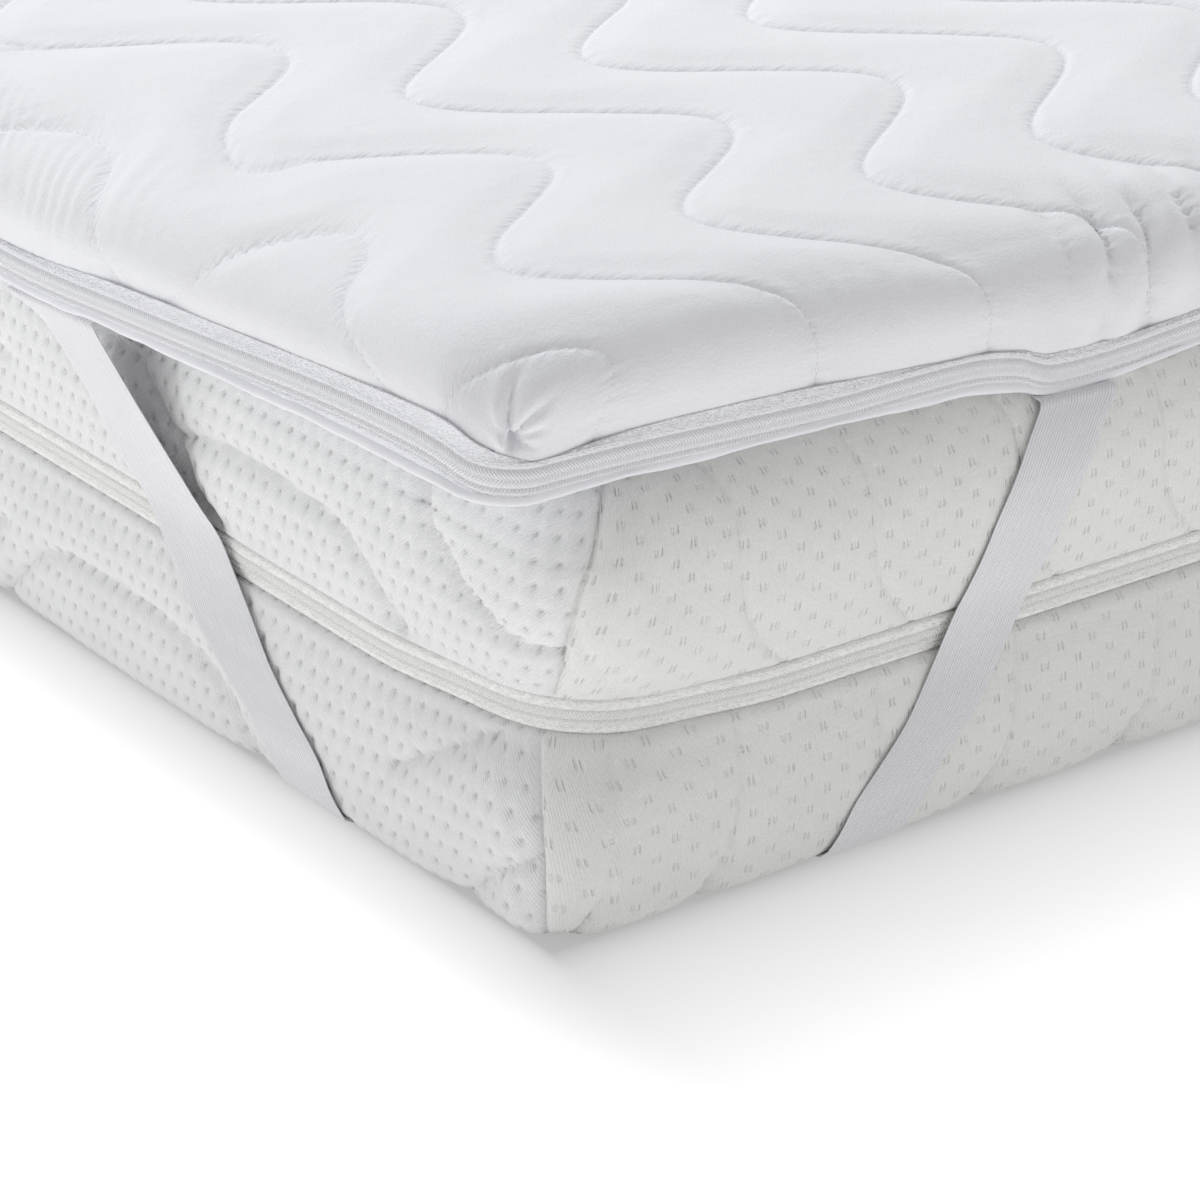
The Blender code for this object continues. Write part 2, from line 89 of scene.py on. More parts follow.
def mix(low, high, share):
    """Part of the way from low to high."""
    return low + (high - low) * share


def bell(distance, width):
    """1 at no distance, falling off over width."""
    return np.exp(-(distance / width) ** 2)


NOISE_TABLE = rng.random((128, 128))


def noise(u, v, seed=0):
    """Smooth noise from -1 to 1 with a feature about every unit."""
    u = u + 17.31 * seed
    v = v + 9.77 * seed
    left, low = np.floor(u).astype(int), np.floor(v).astype(int)
    across, up = smooth(u - left), smooth(v - low)
    size = NOISE_TABLE.shape[0]
    pick = lambda a, b: NOISE_TABLE[(left + a) % size, (low + b) % size]
    bottom = mix(pick(0, 0), pick(1, 0), across)
    top = mix(pick(0, 1), pick(1, 1), across)
    return 2.0 * mix(bottom, top, up) - 1.0


def curve_through(table, steps=24):
    """A smooth run of points through a table's rows, as many steps a row."""
    rows = np.array(table, float)
    padded = np.vstack([2 * rows[0] - rows[1], rows, 2 * rows[-1] - rows[-2]])
    points = []
    for first in range(len(rows) - 1):
        a, b, c, d = padded[first:first + 4]
        for t in np.arange(steps) / steps:
            points.append(0.5 * (2 * b + (c - a) * t + (2 * a - 5 * b + 4 * c - d) * t ** 2
                                 + (3 * b - a - 3 * c + d) * t ** 3))
    points.append(rows[-1])
    return np.array(points)


def run_length(points):
    """Distance along a run of points."""
    return np.concatenate([[0.0], np.cumsum(np.linalg.norm(np.diff(points, axis=0), axis=1))])


def spaced(stops):
    """Places from a table of stops (place, step after it): even steps between stops."""
    places = []
    for (start, step), (end, _) in zip(stops, stops[1:]):
        count = max(round((end - start) / step), 1)
        places += [start + (end - start) * index / count for index in range(count)]
    return np.array(places + [stops[-1][0]])


# ---------------------------------------------------------------- mesh helpers

def deselect():
    """Select nothing."""
    bpy.ops.object.select_all(action="DESELECT")


def activate(piece):
    """Select this piece alone and make it the active one."""
    deselect()
    piece.select_set(True)
    bpy.context.view_layer.objects.active = piece


def grid_piece(name, columns, rows, place):
    """A grid primitive of columns by rows, its points set by place(column, row) -> points, flat places.

    The flat places become the UV map, in metres of cloth.
    """
    deselect()
    bpy.ops.mesh.primitive_grid_add(x_subdivisions=columns, y_subdivisions=rows, size=1.0)
    piece = bpy.context.object
    piece.name = piece.data.name = name
    mesh = piece.data
    spots = np.empty(len(mesh.vertices) * 3, np.float32)
    mesh.vertices.foreach_get("co", spots)
    spots = spots.reshape(-1, 3)
    column = np.rint((spots[:, 0] + 0.5) * columns).astype(int)
    row = np.rint((spots[:, 1] + 0.5) * rows).astype(int)
    points, flat = place(column, row)
    mesh.vertices.foreach_set("co", np.ascontiguousarray(points, np.float32).ravel())
    corners = np.empty(len(mesh.loops), np.int32)
    mesh.loops.foreach_get("vertex_index", corners)
    mesh.uv_layers.active.data.foreach_set("uv", np.ascontiguousarray(flat[corners], np.float32).ravel())
    mesh.update()
    return piece


def merge_doubles(piece):
    """Join the points that lie on each other, where a grid closes on itself."""
    activate(piece)
    bpy.ops.object.mode_set(mode="EDIT")
    bpy.ops.mesh.select_all(action="SELECT")
    bpy.ops.mesh.remove_doubles(threshold=MERGE_WITHIN)
    bpy.ops.object.mode_set(mode="OBJECT")
    return piece


def tidy_normals(piece):
    """Turn all faces outwards and shade smooth."""
    activate(piece)
    bpy.ops.object.mode_set(mode="EDIT")
    bpy.ops.mesh.select_all(action="SELECT")
    bpy.ops.mesh.normals_make_consistent(inside=False)
    bpy.ops.object.mode_set(mode="OBJECT")
    bpy.ops.object.shade_smooth()
    return piece


def wear(piece, material, slot, *nodes):
    """Give a finished piece its material and its body, and hide the nodes that it stands for; the slot is not
    used.
    """
    piece.data.materials.clear()
    piece.data.materials.append(material)
    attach(piece, "root")
    if nodes:
        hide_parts(*nodes)
    return piece


# ---------------------------------------------------------------- topper: shape of its surface

EDGE_PROFILE = curve_through([
    # inset from the topper's edge, height over the rim; from behind the zip's tape to the flat top
    (0.0014, 0.0150),
    (0.0010, 0.0190),
    (0.0004, 0.0255),
    (0.0000, 0.0330),
    (0.0012, 0.0405),
    (0.0050, 0.0485),
    (0.0120, 0.0555),
    (0.0225, 0.0602),
    (0.0360, 0.0624),
    (0.0520, TOP - RIM),
])
PROFILE_RUN = run_length(EDGE_PROFILE)
EXCESS = PROFILE_RUN[-1] - EDGE_PROFILE[-1][0]      # the cloth's length over its reach in plan
PROFILE_TURN = np.gradient(EDGE_PROFILE, PROFILE_RUN, axis=0)
FLAT_HALF = TOPPER_HALF + EXCESS
FLAT_RADIUS = TOP_RADIUS + EXCESS
BEHIND_TAPE = 0.0009           # how far the pad stays behind the zip's tape

HOLD_FROM = -0.985             # from here on, over the front edge, a sewn line comes to run straight down
HOLD_ROOM = HOLD_FROM - (WAVE_START - 1.5 * WAVE_LENGTH)


def held(y):
    """Place along the waves; over the front edge it comes to rest where the wave peaks."""
    past = np.maximum(HOLD_FROM - y, 0.0)
    return np.maximum(y, HOLD_FROM) - HOLD_ROOM * (1.0 - np.exp(-past / HOLD_ROOM))


def wave(y):
    """How far a sewn line swings along X at this place."""
    return -WAVE_SWING * np.cos(2 * math.pi * (WAVE_START - held(y)) / WAVE_LENGTH)


def wave_slope(y):
    """How much a sewn line moves along X for each metre along Y."""
    step = 0.0005
    return (wave(y + step) - wave(y - step)) / (2 * step)


WAVE_PLACES = np.arange(-1.1, 1.1, 0.0005)
WAVE_RUN = run_length(np.stack([wave(WAVE_PLACES), WAVE_PLACES], axis=-1))


def line_shift(x, y):
    """The front's lines run a little closer together where they turn over the edge."""
    front = -BED_HALF[1]
    return -0.055 * np.maximum(x + 0.39, 0.0) * smooth((front + 0.09 - y) / 0.09)


# Near the left edge the strap has drawn the quilting aside: place along Y, pull along Y and along X
LEFT_PULL = curve_through([
    (-1.100, 0.000, 0.000), (-0.955, 0.000, 0.000), (-0.925, 0.004, 0.001), (-0.893, 0.016, 0.002),
    (-0.842, 0.034, 0.020), (-0.806, 0.047, 0.008), (-0.770, 0.050, 0.004), (-0.722, 0.046, 0.016),
    (-0.680, 0.052, 0.030), (-0.620, 0.036, 0.020), (-0.540, 0.012, 0.006), (-0.460, 0.000, 0.000),
    (1.100, 0.000, 0.000)], 8)
LEFT_PULL_FROM = -0.455        # the pull along the left edge is full up to this X
CORNER_PULL = 0.028            # the corner's gathering has drawn the last sewn line towards the front
CORNER_PULL_TO = (-0.405, -0.935)          # up to this X and Y
PULL_REACH = 0.075             # both pulls die out over this distance along X
PULL_STEPS = 40                # steps towards the opposite of the pull, each this share of what is left
PULL_STEP_SHARE = 0.6


def unpulled(x, y):
    """Where a flat place lies on the cloth before the pull at the left edge and at its corner."""
    share = 1.0 - smooth((x - LEFT_PULL_FROM) / PULL_REACH)
    corner_x, corner_y = CORNER_PULL_TO
    at_corner = CORNER_PULL * smooth((corner_x - x) / PULL_REACH) * (1.0 - smooth((y - corner_y) / 0.06))
    along_x = share * np.interp(y, LEFT_PULL[:, 0], LEFT_PULL[:, 2])
    along_y = share * np.interp(y, LEFT_PULL[:, 0], LEFT_PULL[:, 1])
    return x + along_x, y + along_y + at_corner


def pulled(x, y):
    """The opposite of unpulled, found step by step."""
    now_x, now_y = x, y
    for _ in range(PULL_STEPS):
        back_x, back_y = unpulled(now_x, now_y)
        now_x = now_x + PULL_STEP_SHARE * (x - back_x)
        now_y = now_y + PULL_STEP_SHARE * (y - back_y)
    return now_x, now_y


def line_phase(x, y):
    """Which sewn line a flat place is by, counted in spacings."""
    x, y = unpulled(x, y)
    return (x - line_shift(x, y) - wave(y) - FIRST_LINE) / LINE_SPACING


def from_line(x, y):
    """Distance of a flat place from the nearest sewn line, across the line."""
    phase = line_phase(x, y)
    return np.abs(phase - np.rint(phase)) * LINE_SPACING / np.sqrt(1.0 + wave_slope(y) ** 2)


QUILT_VALLEY = (0.0023, 0.026)     # depth at a sewn line, and how far from it the cloth is drawn in
QUILT_CREASE = (0.0026, 0.0024)    # the crease at the stitches


def quilt_depth(x, y):
    """How deep the quilting draws the cloth in: a soft valley with a crease at the stitches."""
    away = from_line(x, y)
    valley = QUILT_VALLEY[0] * (1.0 - smooth(away / QUILT_VALLEY[1]))
    return valley + QUILT_CREASE[0] * np.exp(-away / QUILT_CREASE[1])


# The straps have pulled the top's edges down: depth at the edge, and how far in it reaches
SUNK_LEFT = (0.0165, 0.15)
SUNK_RIGHT = (0.0140, 0.09)
SUNK_ENDS = (0.0125, 0.06)


def sag(from_left, from_right, from_front, from_back):
    """How far the top has sunk near its edges, pulled down by the straps."""
    long_room = smooth(np.minimum(from_front, from_back) / DROP_REACH)
    end_room = smooth((np.minimum(from_left, from_right) - 0.11) / 0.20)
    left = SUNK_LEFT[0] * np.exp(-np.maximum(from_left, 0.0) / SUNK_LEFT[1])
    right = SUNK_RIGHT[0] * np.exp(-np.maximum(from_right, 0.0) / SUNK_RIGHT[1])
    from_end = np.maximum(np.minimum(from_front, from_back) - 0.02, 0.0)
    ends = SUNK_ENDS[0] * np.exp(-from_end / SUNK_ENDS[1])
    return (left + right) * long_room + ends * end_room


def gathers(along, deep, seed, spacing, bend):
    """Gathered folds that leave the zip and die out on top: height from -1 to 1."""
    place = along + bend * np.maximum(deep - 0.03, 0.0) + 0.006 * noise(along / 0.05, deep / 0.08, seed)
    turn = place / spacing + 0.6 * noise(place / 0.045, 0.0 * place, seed + 1)
    ridge = np.abs(np.sin(math.pi * turn)) ** 0.75
    return (2.0 * ridge - 1.2) * (0.65 + 0.35 * noise(turn * 0.9, deep / 0.06, seed + 2))


FOLD_BANDS = [
    # side, from, to along it (from the front or the left), reach on top, height, spacing, bend, seed
    ("left", 0.345, 0.62, 0.055, 0.0034, 0.0076, -0.90, 3),
    ("left", 0.22, 0.37, 0.060, 0.0007, 0.0105, -0.60, 4),
    ("left", 1.38, 1.75, 0.090, 0.0018, 0.0170, -0.20, 5),
    ("front", 0.28, 0.56, 0.055, 0.0044, 0.0260, -0.25, 7),
    ("front", 0.03, 0.27, 0.030, 0.0006, 0.0150, 0.00, 23),
    ("front", 0.60, 0.84, 0.070, 0.0014, 0.0210, 0.15, 9),
    ("right", 0.25, 0.62, 0.050, 0.0008, 0.0240, 0.25, 11),
    ("right", 1.38, 1.75, 0.050, 0.0008, 0.0240, -0.25, 13),
    ("back", 0.14, 0.40, 0.050, 0.0008, 0.0250, -0.20, 15),
    ("back", 0.55, 0.80, 0.050, 0.0008, 0.0250, 0.20, 17),
]
ROSETTE_AT = (0.0100, 0.0074)  # the corner's pinch: up from the zip, and along from the corner's middle
ROSETTE_PIT = (0.0062, 0.0024)             # its depth and width
ROSETTE_SWELL = (0.0016, 0.014)            # the puff beside it: height and width
ROSETTE_SWELL_AT = (0.016, 0.006)          # from the pinch, up and along
ROSETTE_SWIRL = 900.0          # degrees that a crease turns for each metre from the pinch
ROSETTE_CREASES = [
    # direction from the pinch (degrees, 90 is up), length, depth, width
    (112.0, 0.021, 0.0062, 0.0012),
    (66.0, 0.016, 0.0048, 0.0011),
    (30.0, 0.014, 0.0038, 0.0010),
    (-6.0, 0.012, 0.0028, 0.0010),
    (146.0, 0.011, 0.0026, 0.0010),
]


def rosette(deep, along):
    """The pinch where a corner's spare cloth is gathered to the zip, with its swirling creases."""
    up, side = deep - ROSETTE_AT[0], along - ROSETTE_AT[1]
    away = np.hypot(up, side)
    angle = np.degrees(np.arctan2(up, side)) + ROSETTE_SWIRL * away
    from_swell = np.hypot(up - ROSETTE_SWELL_AT[0], side - ROSETTE_SWELL_AT[1])
    pit = ROSETTE_PIT[0] * bell(away, ROSETTE_PIT[1])
    total = -pit + ROSETTE_SWELL[0] * bell(from_swell, ROSETTE_SWELL[1])
    for direction, length, depth, width in ROSETTE_CREASES:
        turn = np.radians((angle - direction + 180.0) % 360.0 - 180.0)
        off = away * np.sin(np.clip(turn, -QUARTER, QUARTER))
        ahead = np.where(np.abs(turn) < QUARTER, 1.0, 0.0)
        fade = np.exp(-(away / length) ** 2) * ahead * smooth(away / 0.003)
        spread = width + 0.07 * away
        total -= depth * fade * np.exp(-np.abs(off) / spread)
        total += 0.40 * depth * fade * bell(off - 2.4 * spread, 1.4 * spread)
    return total


class ClothPlaces:
    """Places on the topper's cloth laid flat: how far in from its edge, and which way is outward."""

    def __init__(self, x, y):
        local = np.stack([x, y], axis=-1) - TOPPER_CENTRE
        self.sign = np.where(local < 0, -1.0, 1.0)
        self.size = np.abs(local)
        over = self.size - (FLAT_HALF - FLAT_RADIUS)
        reach = np.hypot(over[:, 0], over[:, 1])
        inward = FLAT_HALF - self.size
        self.corner = (over[:, 0] > 0) & (over[:, 1] > 0)
        self.on_side = inward[:, 0] < inward[:, 1]
        self.deep = np.maximum(np.where(self.corner, FLAT_RADIUS - reach, np.min(inward, axis=1)), 0.0)
        self.outward = np.zeros_like(local)
        for axis, nearest in ((0, self.on_side), (1, ~self.on_side)):
            self.outward[:, axis] = np.where(self.corner, over[:, axis] / np.maximum(reach, 1e-9), nearest)

    def on_profile(self, table, column):
        """Value of one column of the edge profile's table at each place."""
        return np.interp(self.deep, PROFILE_RUN, table[:, column])

    def plan(self, inset):
        """Distances from the topper's middle in plan, for this inset from its edge."""
        radius = mix(RIM_RADIUS, TOP_RADIUS, smooth(self.deep / 0.045))
        near_corner = smooth((self.size - (FLAT_HALF - FLAT_RADIUS) + 0.08) / 0.08)
        straight = self.size + (TOP_RADIUS - radius)[:, None] * near_corner
        plan = np.where(self.outward > 0.5, TOPPER_HALF - inset[:, None], straight)
        arc = (TOPPER_HALF - radius[:, None]) + (radius - inset)[:, None] * self.outward
        return np.where(self.corner[:, None], arc, plan)

    def folds(self, from_left, from_front):
        """Gathered folds along the edges, from FOLD_BANDS."""
        total = np.zeros_like(self.deep)
        for side, start, end, top_reach, height, spacing, bend, seed in FOLD_BANDS:
            long_side = side in ("left", "right")
            along = from_front if long_side else from_left
            mask = self.on_side if long_side else ~self.on_side
            facing = self.sign[:, 0] if long_side else self.sign[:, 1]
            mask = mask & ~self.corner & (facing == (-1 if side in ("left", "front") else 1))
            middle, half = (start + end) / 2, (end - start) / 2
            envelope = 1.0 - smooth((np.abs(along - middle) - half + 0.06) / 0.06)
            up = (0.15 + 0.85 * smooth(self.deep / 0.016)) * (1.0 - smooth((self.deep - 0.045) / top_reach))
            folded = height * envelope * up * gathers(along, self.deep, seed, spacing, bend)
            total += np.where(mask, folded, 0.0)
        return total

    def pinch(self):
        """The rosette at each corner, gone where the corner's round ends."""
        angle = np.arctan2(self.outward[:, 1], self.outward[:, 0]) - QUARTER / 2
        turned = angle * (RIM_RADIUS + 0.5 * self.deep) * self.sign[:, 0] * self.sign[:, 1]
        along = np.where(self.corner, turned, 0.1)
        near_middle = 1.0 - smooth((np.abs(angle) - 0.55) / 0.23)
        return np.where(self.corner, rosette(self.deep, along), 0.0) * near_middle


def pad_surface(x, y):
    """Place on the topper of a place (x, y) on its cloth laid flat, in the row's frame."""
    cloth = ClothPlaces(x, y)
    deep = cloth.deep
    on_profile = deep < PROFILE_RUN[-1]
    inset = np.where(on_profile, cloth.on_profile(EDGE_PROFILE, 0), deep - EXCESS)
    rise = cloth.on_profile(EDGE_PROFILE, 1)
    plan = cloth.plan(inset)

    from_corner = np.max(TOPPER_HALF - plan, axis=1)
    from_left, from_front = (plan * cloth.sign + TOPPER_HALF).T
    sunk = sag(from_left, 2 * TOPPER_HALF[0] - from_left, from_front, 2 * TOPPER_HALF[1] - from_front)
    lowered = mix(RIM - rim_low(from_corner, ~cloth.on_side), sunk, smooth(deep / 0.055))

    on_top = smooth(deep / 0.05)
    bump = -quilt_depth(x, y) * (0.30 + 0.70 * smooth((deep - 0.012) / 0.05))
    bump += 0.0011 * noise(x / 0.075, y / 0.095, 1) * on_top
    bump += 0.0005 * noise((x + 0.4 * y) / 0.030, (y - 0.4 * x) / 0.055, 2) * on_top
    bump += cloth.folds(from_left, from_front) + cloth.pinch()
    under_tape = 1.0 - smooth((rise - tape_top(from_corner, ~cloth.on_side) + 0.0042) / 0.0030)
    bump = mix(bump, np.minimum(bump, 0.0) - BEHIND_TAPE, under_tape)

    points = np.empty((len(x), 3))
    bulge = cloth.outward * (cloth.on_profile(PROFILE_TURN, 1) * bump)[:, None]
    points[:, :2] = (plan + bulge) * cloth.sign + TOPPER_CENTRE
    points[:, 2] = RIM + rise - lowered + cloth.on_profile(PROFILE_TURN, 0) * bump
    return points


# ---------------------------------------------------------------- topper: pieces

PLEATS_FROM_Y = -0.70          # the fine gathers at the left edge start here
FINE_TO_Y = -0.42              # the picture shows the cloth up to here; past it the mesh is coarser
LAST_GATHERED = 8.5            # the grid's columns draw together at the sewn lines up to here, in spacings
COLUMNS_CLOSER = 0.75          # and by this share
# The pad's edge under the tape, in two steps: inward, down, and 1 where it keeps its heights
PAD_UNDER = ((0.0045, 0.008, 1), (0.026, 0.0, 0))
THREAD_HALF = (0.00050, 0.00034)           # half of the thread's width and height
THREAD_SLACK = 0.00025         # a stitch's ends lie up to this much before or past their places
THREAD_PROUD = 0.00025         # a stitch's middle is this far over the cloth
THREAD_SUNK = 0.00035          # and its ends go down this much
STITCH_LINES = range(-1, 11)   # numbers of the sewn lines
STITCH_MARGIN = 0.004          # the stitches stop this far from the cloth's edge


def corner_round(places_x, places_y, low, high, radius):
    """Pull a grid's square corner blocks into quarter discs of this radius."""
    places = np.stack([places_x, places_y], axis=-1)
    centre = np.where(places < (low + high) / 2, low + radius, high - radius)
    off = (places - centre) / radius
    side = np.where(np.abs(centre - low) < np.abs(centre - high), -1.0, 1.0)
    a, b = off[:, 0] * side[:, 0], off[:, 1] * side[:, 1]
    inside = (a > 0) & (b > 0)
    a2, b2 = np.clip(a, 0, 1), np.clip(b, 0, 1)
    disc = np.stack([a2 * np.sqrt(1 - b2 ** 2 / 2), b2 * np.sqrt(1 - a2 ** 2 / 2)], axis=-1)
    moved = centre + disc * side * radius
    return np.where(inside[:, None], moved, places)


def quilted_cover():
    """The pad: its cloth follows the filling, with the grid's columns along the sewn waves."""
    low, high = TOPPER_CENTRE - FLAT_HALF, TOPPER_CENTRE + FLAT_HALF
    first = FIRST_LINE - LINE_SPACING * 0.5
    columns = spaced([
        (low[0], 0.0014), (low[0] + 0.055, 0.0026), (first, LINE_SPACING / 28),
        (FIRST_LINE + 3.5 * LINE_SPACING, LINE_SPACING / 16),
        (FIRST_LINE + LAST_GATHERED * LINE_SPACING, 0.0050), (high[0], 0)])
    phase = (columns - FIRST_LINE) / LINE_SPACING
    quilted = (phase > -0.5) & (phase < LAST_GATHERED)
    closer = COLUMNS_CLOSER * LINE_SPACING / (2 * math.pi) * np.sin(2 * math.pi * phase)
    columns = columns - np.where(quilted, closer, 0.0)
    rows = spaced([
        (low[1], 0.0014), (low[1] + 0.058, 0.0034), (PLEATS_FROM_Y, 0.0023), (FINE_TO_Y, 0.0120),
        (high[1] - 0.06, 0.0055), (high[1], 0)])

    def place(column, row):
        x, y = columns[column], rows[row]
        room = np.minimum(x - low[0], high[0] - x)
        swing = smooth((room - 0.05) / 0.13)
        x = x + (wave(y) + line_shift(x, y)) * swing
        flat = corner_round(x, y, low, high, FLAT_RADIUS)
        return pad_surface(flat[:, 0], flat[:, 1]), flat

    cover = grid_piece("topper_cover", len(columns) - 1, len(rows) - 1, place)
    activate(cover)
    bpy.ops.object.mode_set(mode="EDIT")
    bpy.ops.mesh.select_all(action="SELECT")
    bpy.ops.mesh.region_to_loop()
    for turn_in, drop, flatten in PAD_UNDER:
        bpy.ops.mesh.extrude_edges_indiv()
        bpy.ops.transform.translate(value=(0, 0, -drop))
        share = [1 - turn_in / half for half in TOPPER_HALF]
        bpy.ops.transform.resize(value=(*share, flatten), center_override=(*TOPPER_CENTRE, PAD_FLOOR))
    bpy.ops.mesh.edge_face_add()
    bpy.ops.object.mode_set(mode="OBJECT")
    return tidy_normals(cover)


def stitch_ends():
    """Flat places of every stitch's two ends, along all the sewn lines."""
    low, high = TOPPER_CENTRE - FLAT_HALF, TOPPER_CENTRE + FLAT_HALF
    margins = (low[1] + STITCH_MARGIN, high[1] - STITCH_MARGIN)
    first_run, last_run = np.interp(margins, WAVE_PLACES, WAVE_RUN)
    marks = STITCH_PITCH * np.arange(math.ceil(first_run / STITCH_PITCH), int(last_run / STITCH_PITCH))
    starts, ends = [], []
    for number in STITCH_LINES:

        def at(place):
            y = np.interp(place, WAVE_RUN, WAVE_PLACES)
            x = FIRST_LINE + number * LINE_SPACING + wave(y)
            return np.stack(pulled(x + line_shift(x, y), y), axis=-1)

        slack = THREAD_SLACK * rng.uniform(-1, 1, (2, len(marks)))
        first, last = at(marks - STITCH_HALF + slack[0]), at(marks + STITCH_HALF + slack[1])
        over = np.abs(first - TOPPER_CENTRE) - (FLAT_HALF - FLAT_RADIUS)
        beyond = np.hypot(*np.maximum(over, 0).T)
        reach = FLAT_RADIUS - STITCH_MARGIN
        keep = (beyond < reach) & (np.max(over, axis=1) < reach)
        starts.append(first[keep])
        ends.append(last[keep])
    return np.concatenate(starts), np.concatenate(ends)


def pad_normals(x, y):
    """Outward directions of the topper's surface at flat places."""
    step = 0.0008
    along_x = pad_surface(x + step, y) - pad_surface(x - step, y)
    along_y = pad_surface(x, y + step) - pad_surface(x, y - step)
    normal = np.cross(along_x, along_y)
    return normal / np.linalg.norm(normal, axis=1)[:, None]


def stitch_shape():
    """Points and faces of a four-sided cylinder, with a middle point at each end and a ring halfway."""
    bpy.ops.mesh.primitive_cylinder_add(vertices=4, radius=1.0, depth=2.0, end_fill_type="TRIFAN")
    seed = bpy.context.object
    bpy.ops.object.mode_set(mode="EDIT")
    bpy.ops.mesh.select_all(action="SELECT")
    bpy.ops.mesh.bisect(plane_co=(0, 0, 0), plane_no=(0, 0, 1))
    bpy.ops.object.mode_set(mode="OBJECT")
    shape = np.array([vert.co for vert in seed.data.vertices])
    faces = [tuple(face.vertices) for face in seed.data.polygons]
    bpy.data.objects.remove(seed)
    return shape, faces


def stitches():
    """The quilting thread: one short stitch copied along every sewn line."""
    start, end = stitch_ends()
    middle = (start + end) / 2
    a, b = pad_surface(*start.T), pad_surface(*end.T)
    normal = pad_normals(*middle.T)
    forward = b - a
    length = np.linalg.norm(forward, axis=1)
    forward /= length[:, None]
    side = np.cross(forward, normal)
    centre = (a + b) / 2 + normal * THREAD_PROUD

    shape, faces = stitch_shape()
    taper = np.where(np.abs(shape[:, 2]) > 0.5, 0.62, 1.0)
    tip = np.hypot(shape[:, 0], shape[:, 1]) < 0.1
    lengthwise = shape[:, 2] * np.where(tip, 1.0, 0.80)
    across = shape[:, 0] * taper * THREAD_HALF[0]
    up = shape[:, 1] * taper * THREAD_HALF[1] - THREAD_SUNK * np.abs(shape[:, 2]) ** 2
    points = (centre[:, None] + forward[:, None] * (lengthwise[None, :, None] * (length / 2)[:, None, None])
              + side[:, None] * across[None, :, None] + normal[:, None] * up[None, :, None])
    count = len(shape)
    all_faces = [tuple(index * count + corner for corner in face)
                 for index in range(len(points)) for face in faces]
    mesh = bpy.data.meshes.new("quilting_stitches")
    mesh.from_pydata(points.reshape(-1, 3), [], all_faces)
    piece = bpy.data.objects.new("quilting_stitches", mesh)
    bpy.context.scene.collection.objects.link(piece)
    return tidy_normals(piece)


# ---------------------------------------------------------------- rings round a rounded rectangle

FRONT, RIGHT, BACK, LEFT = range(4)


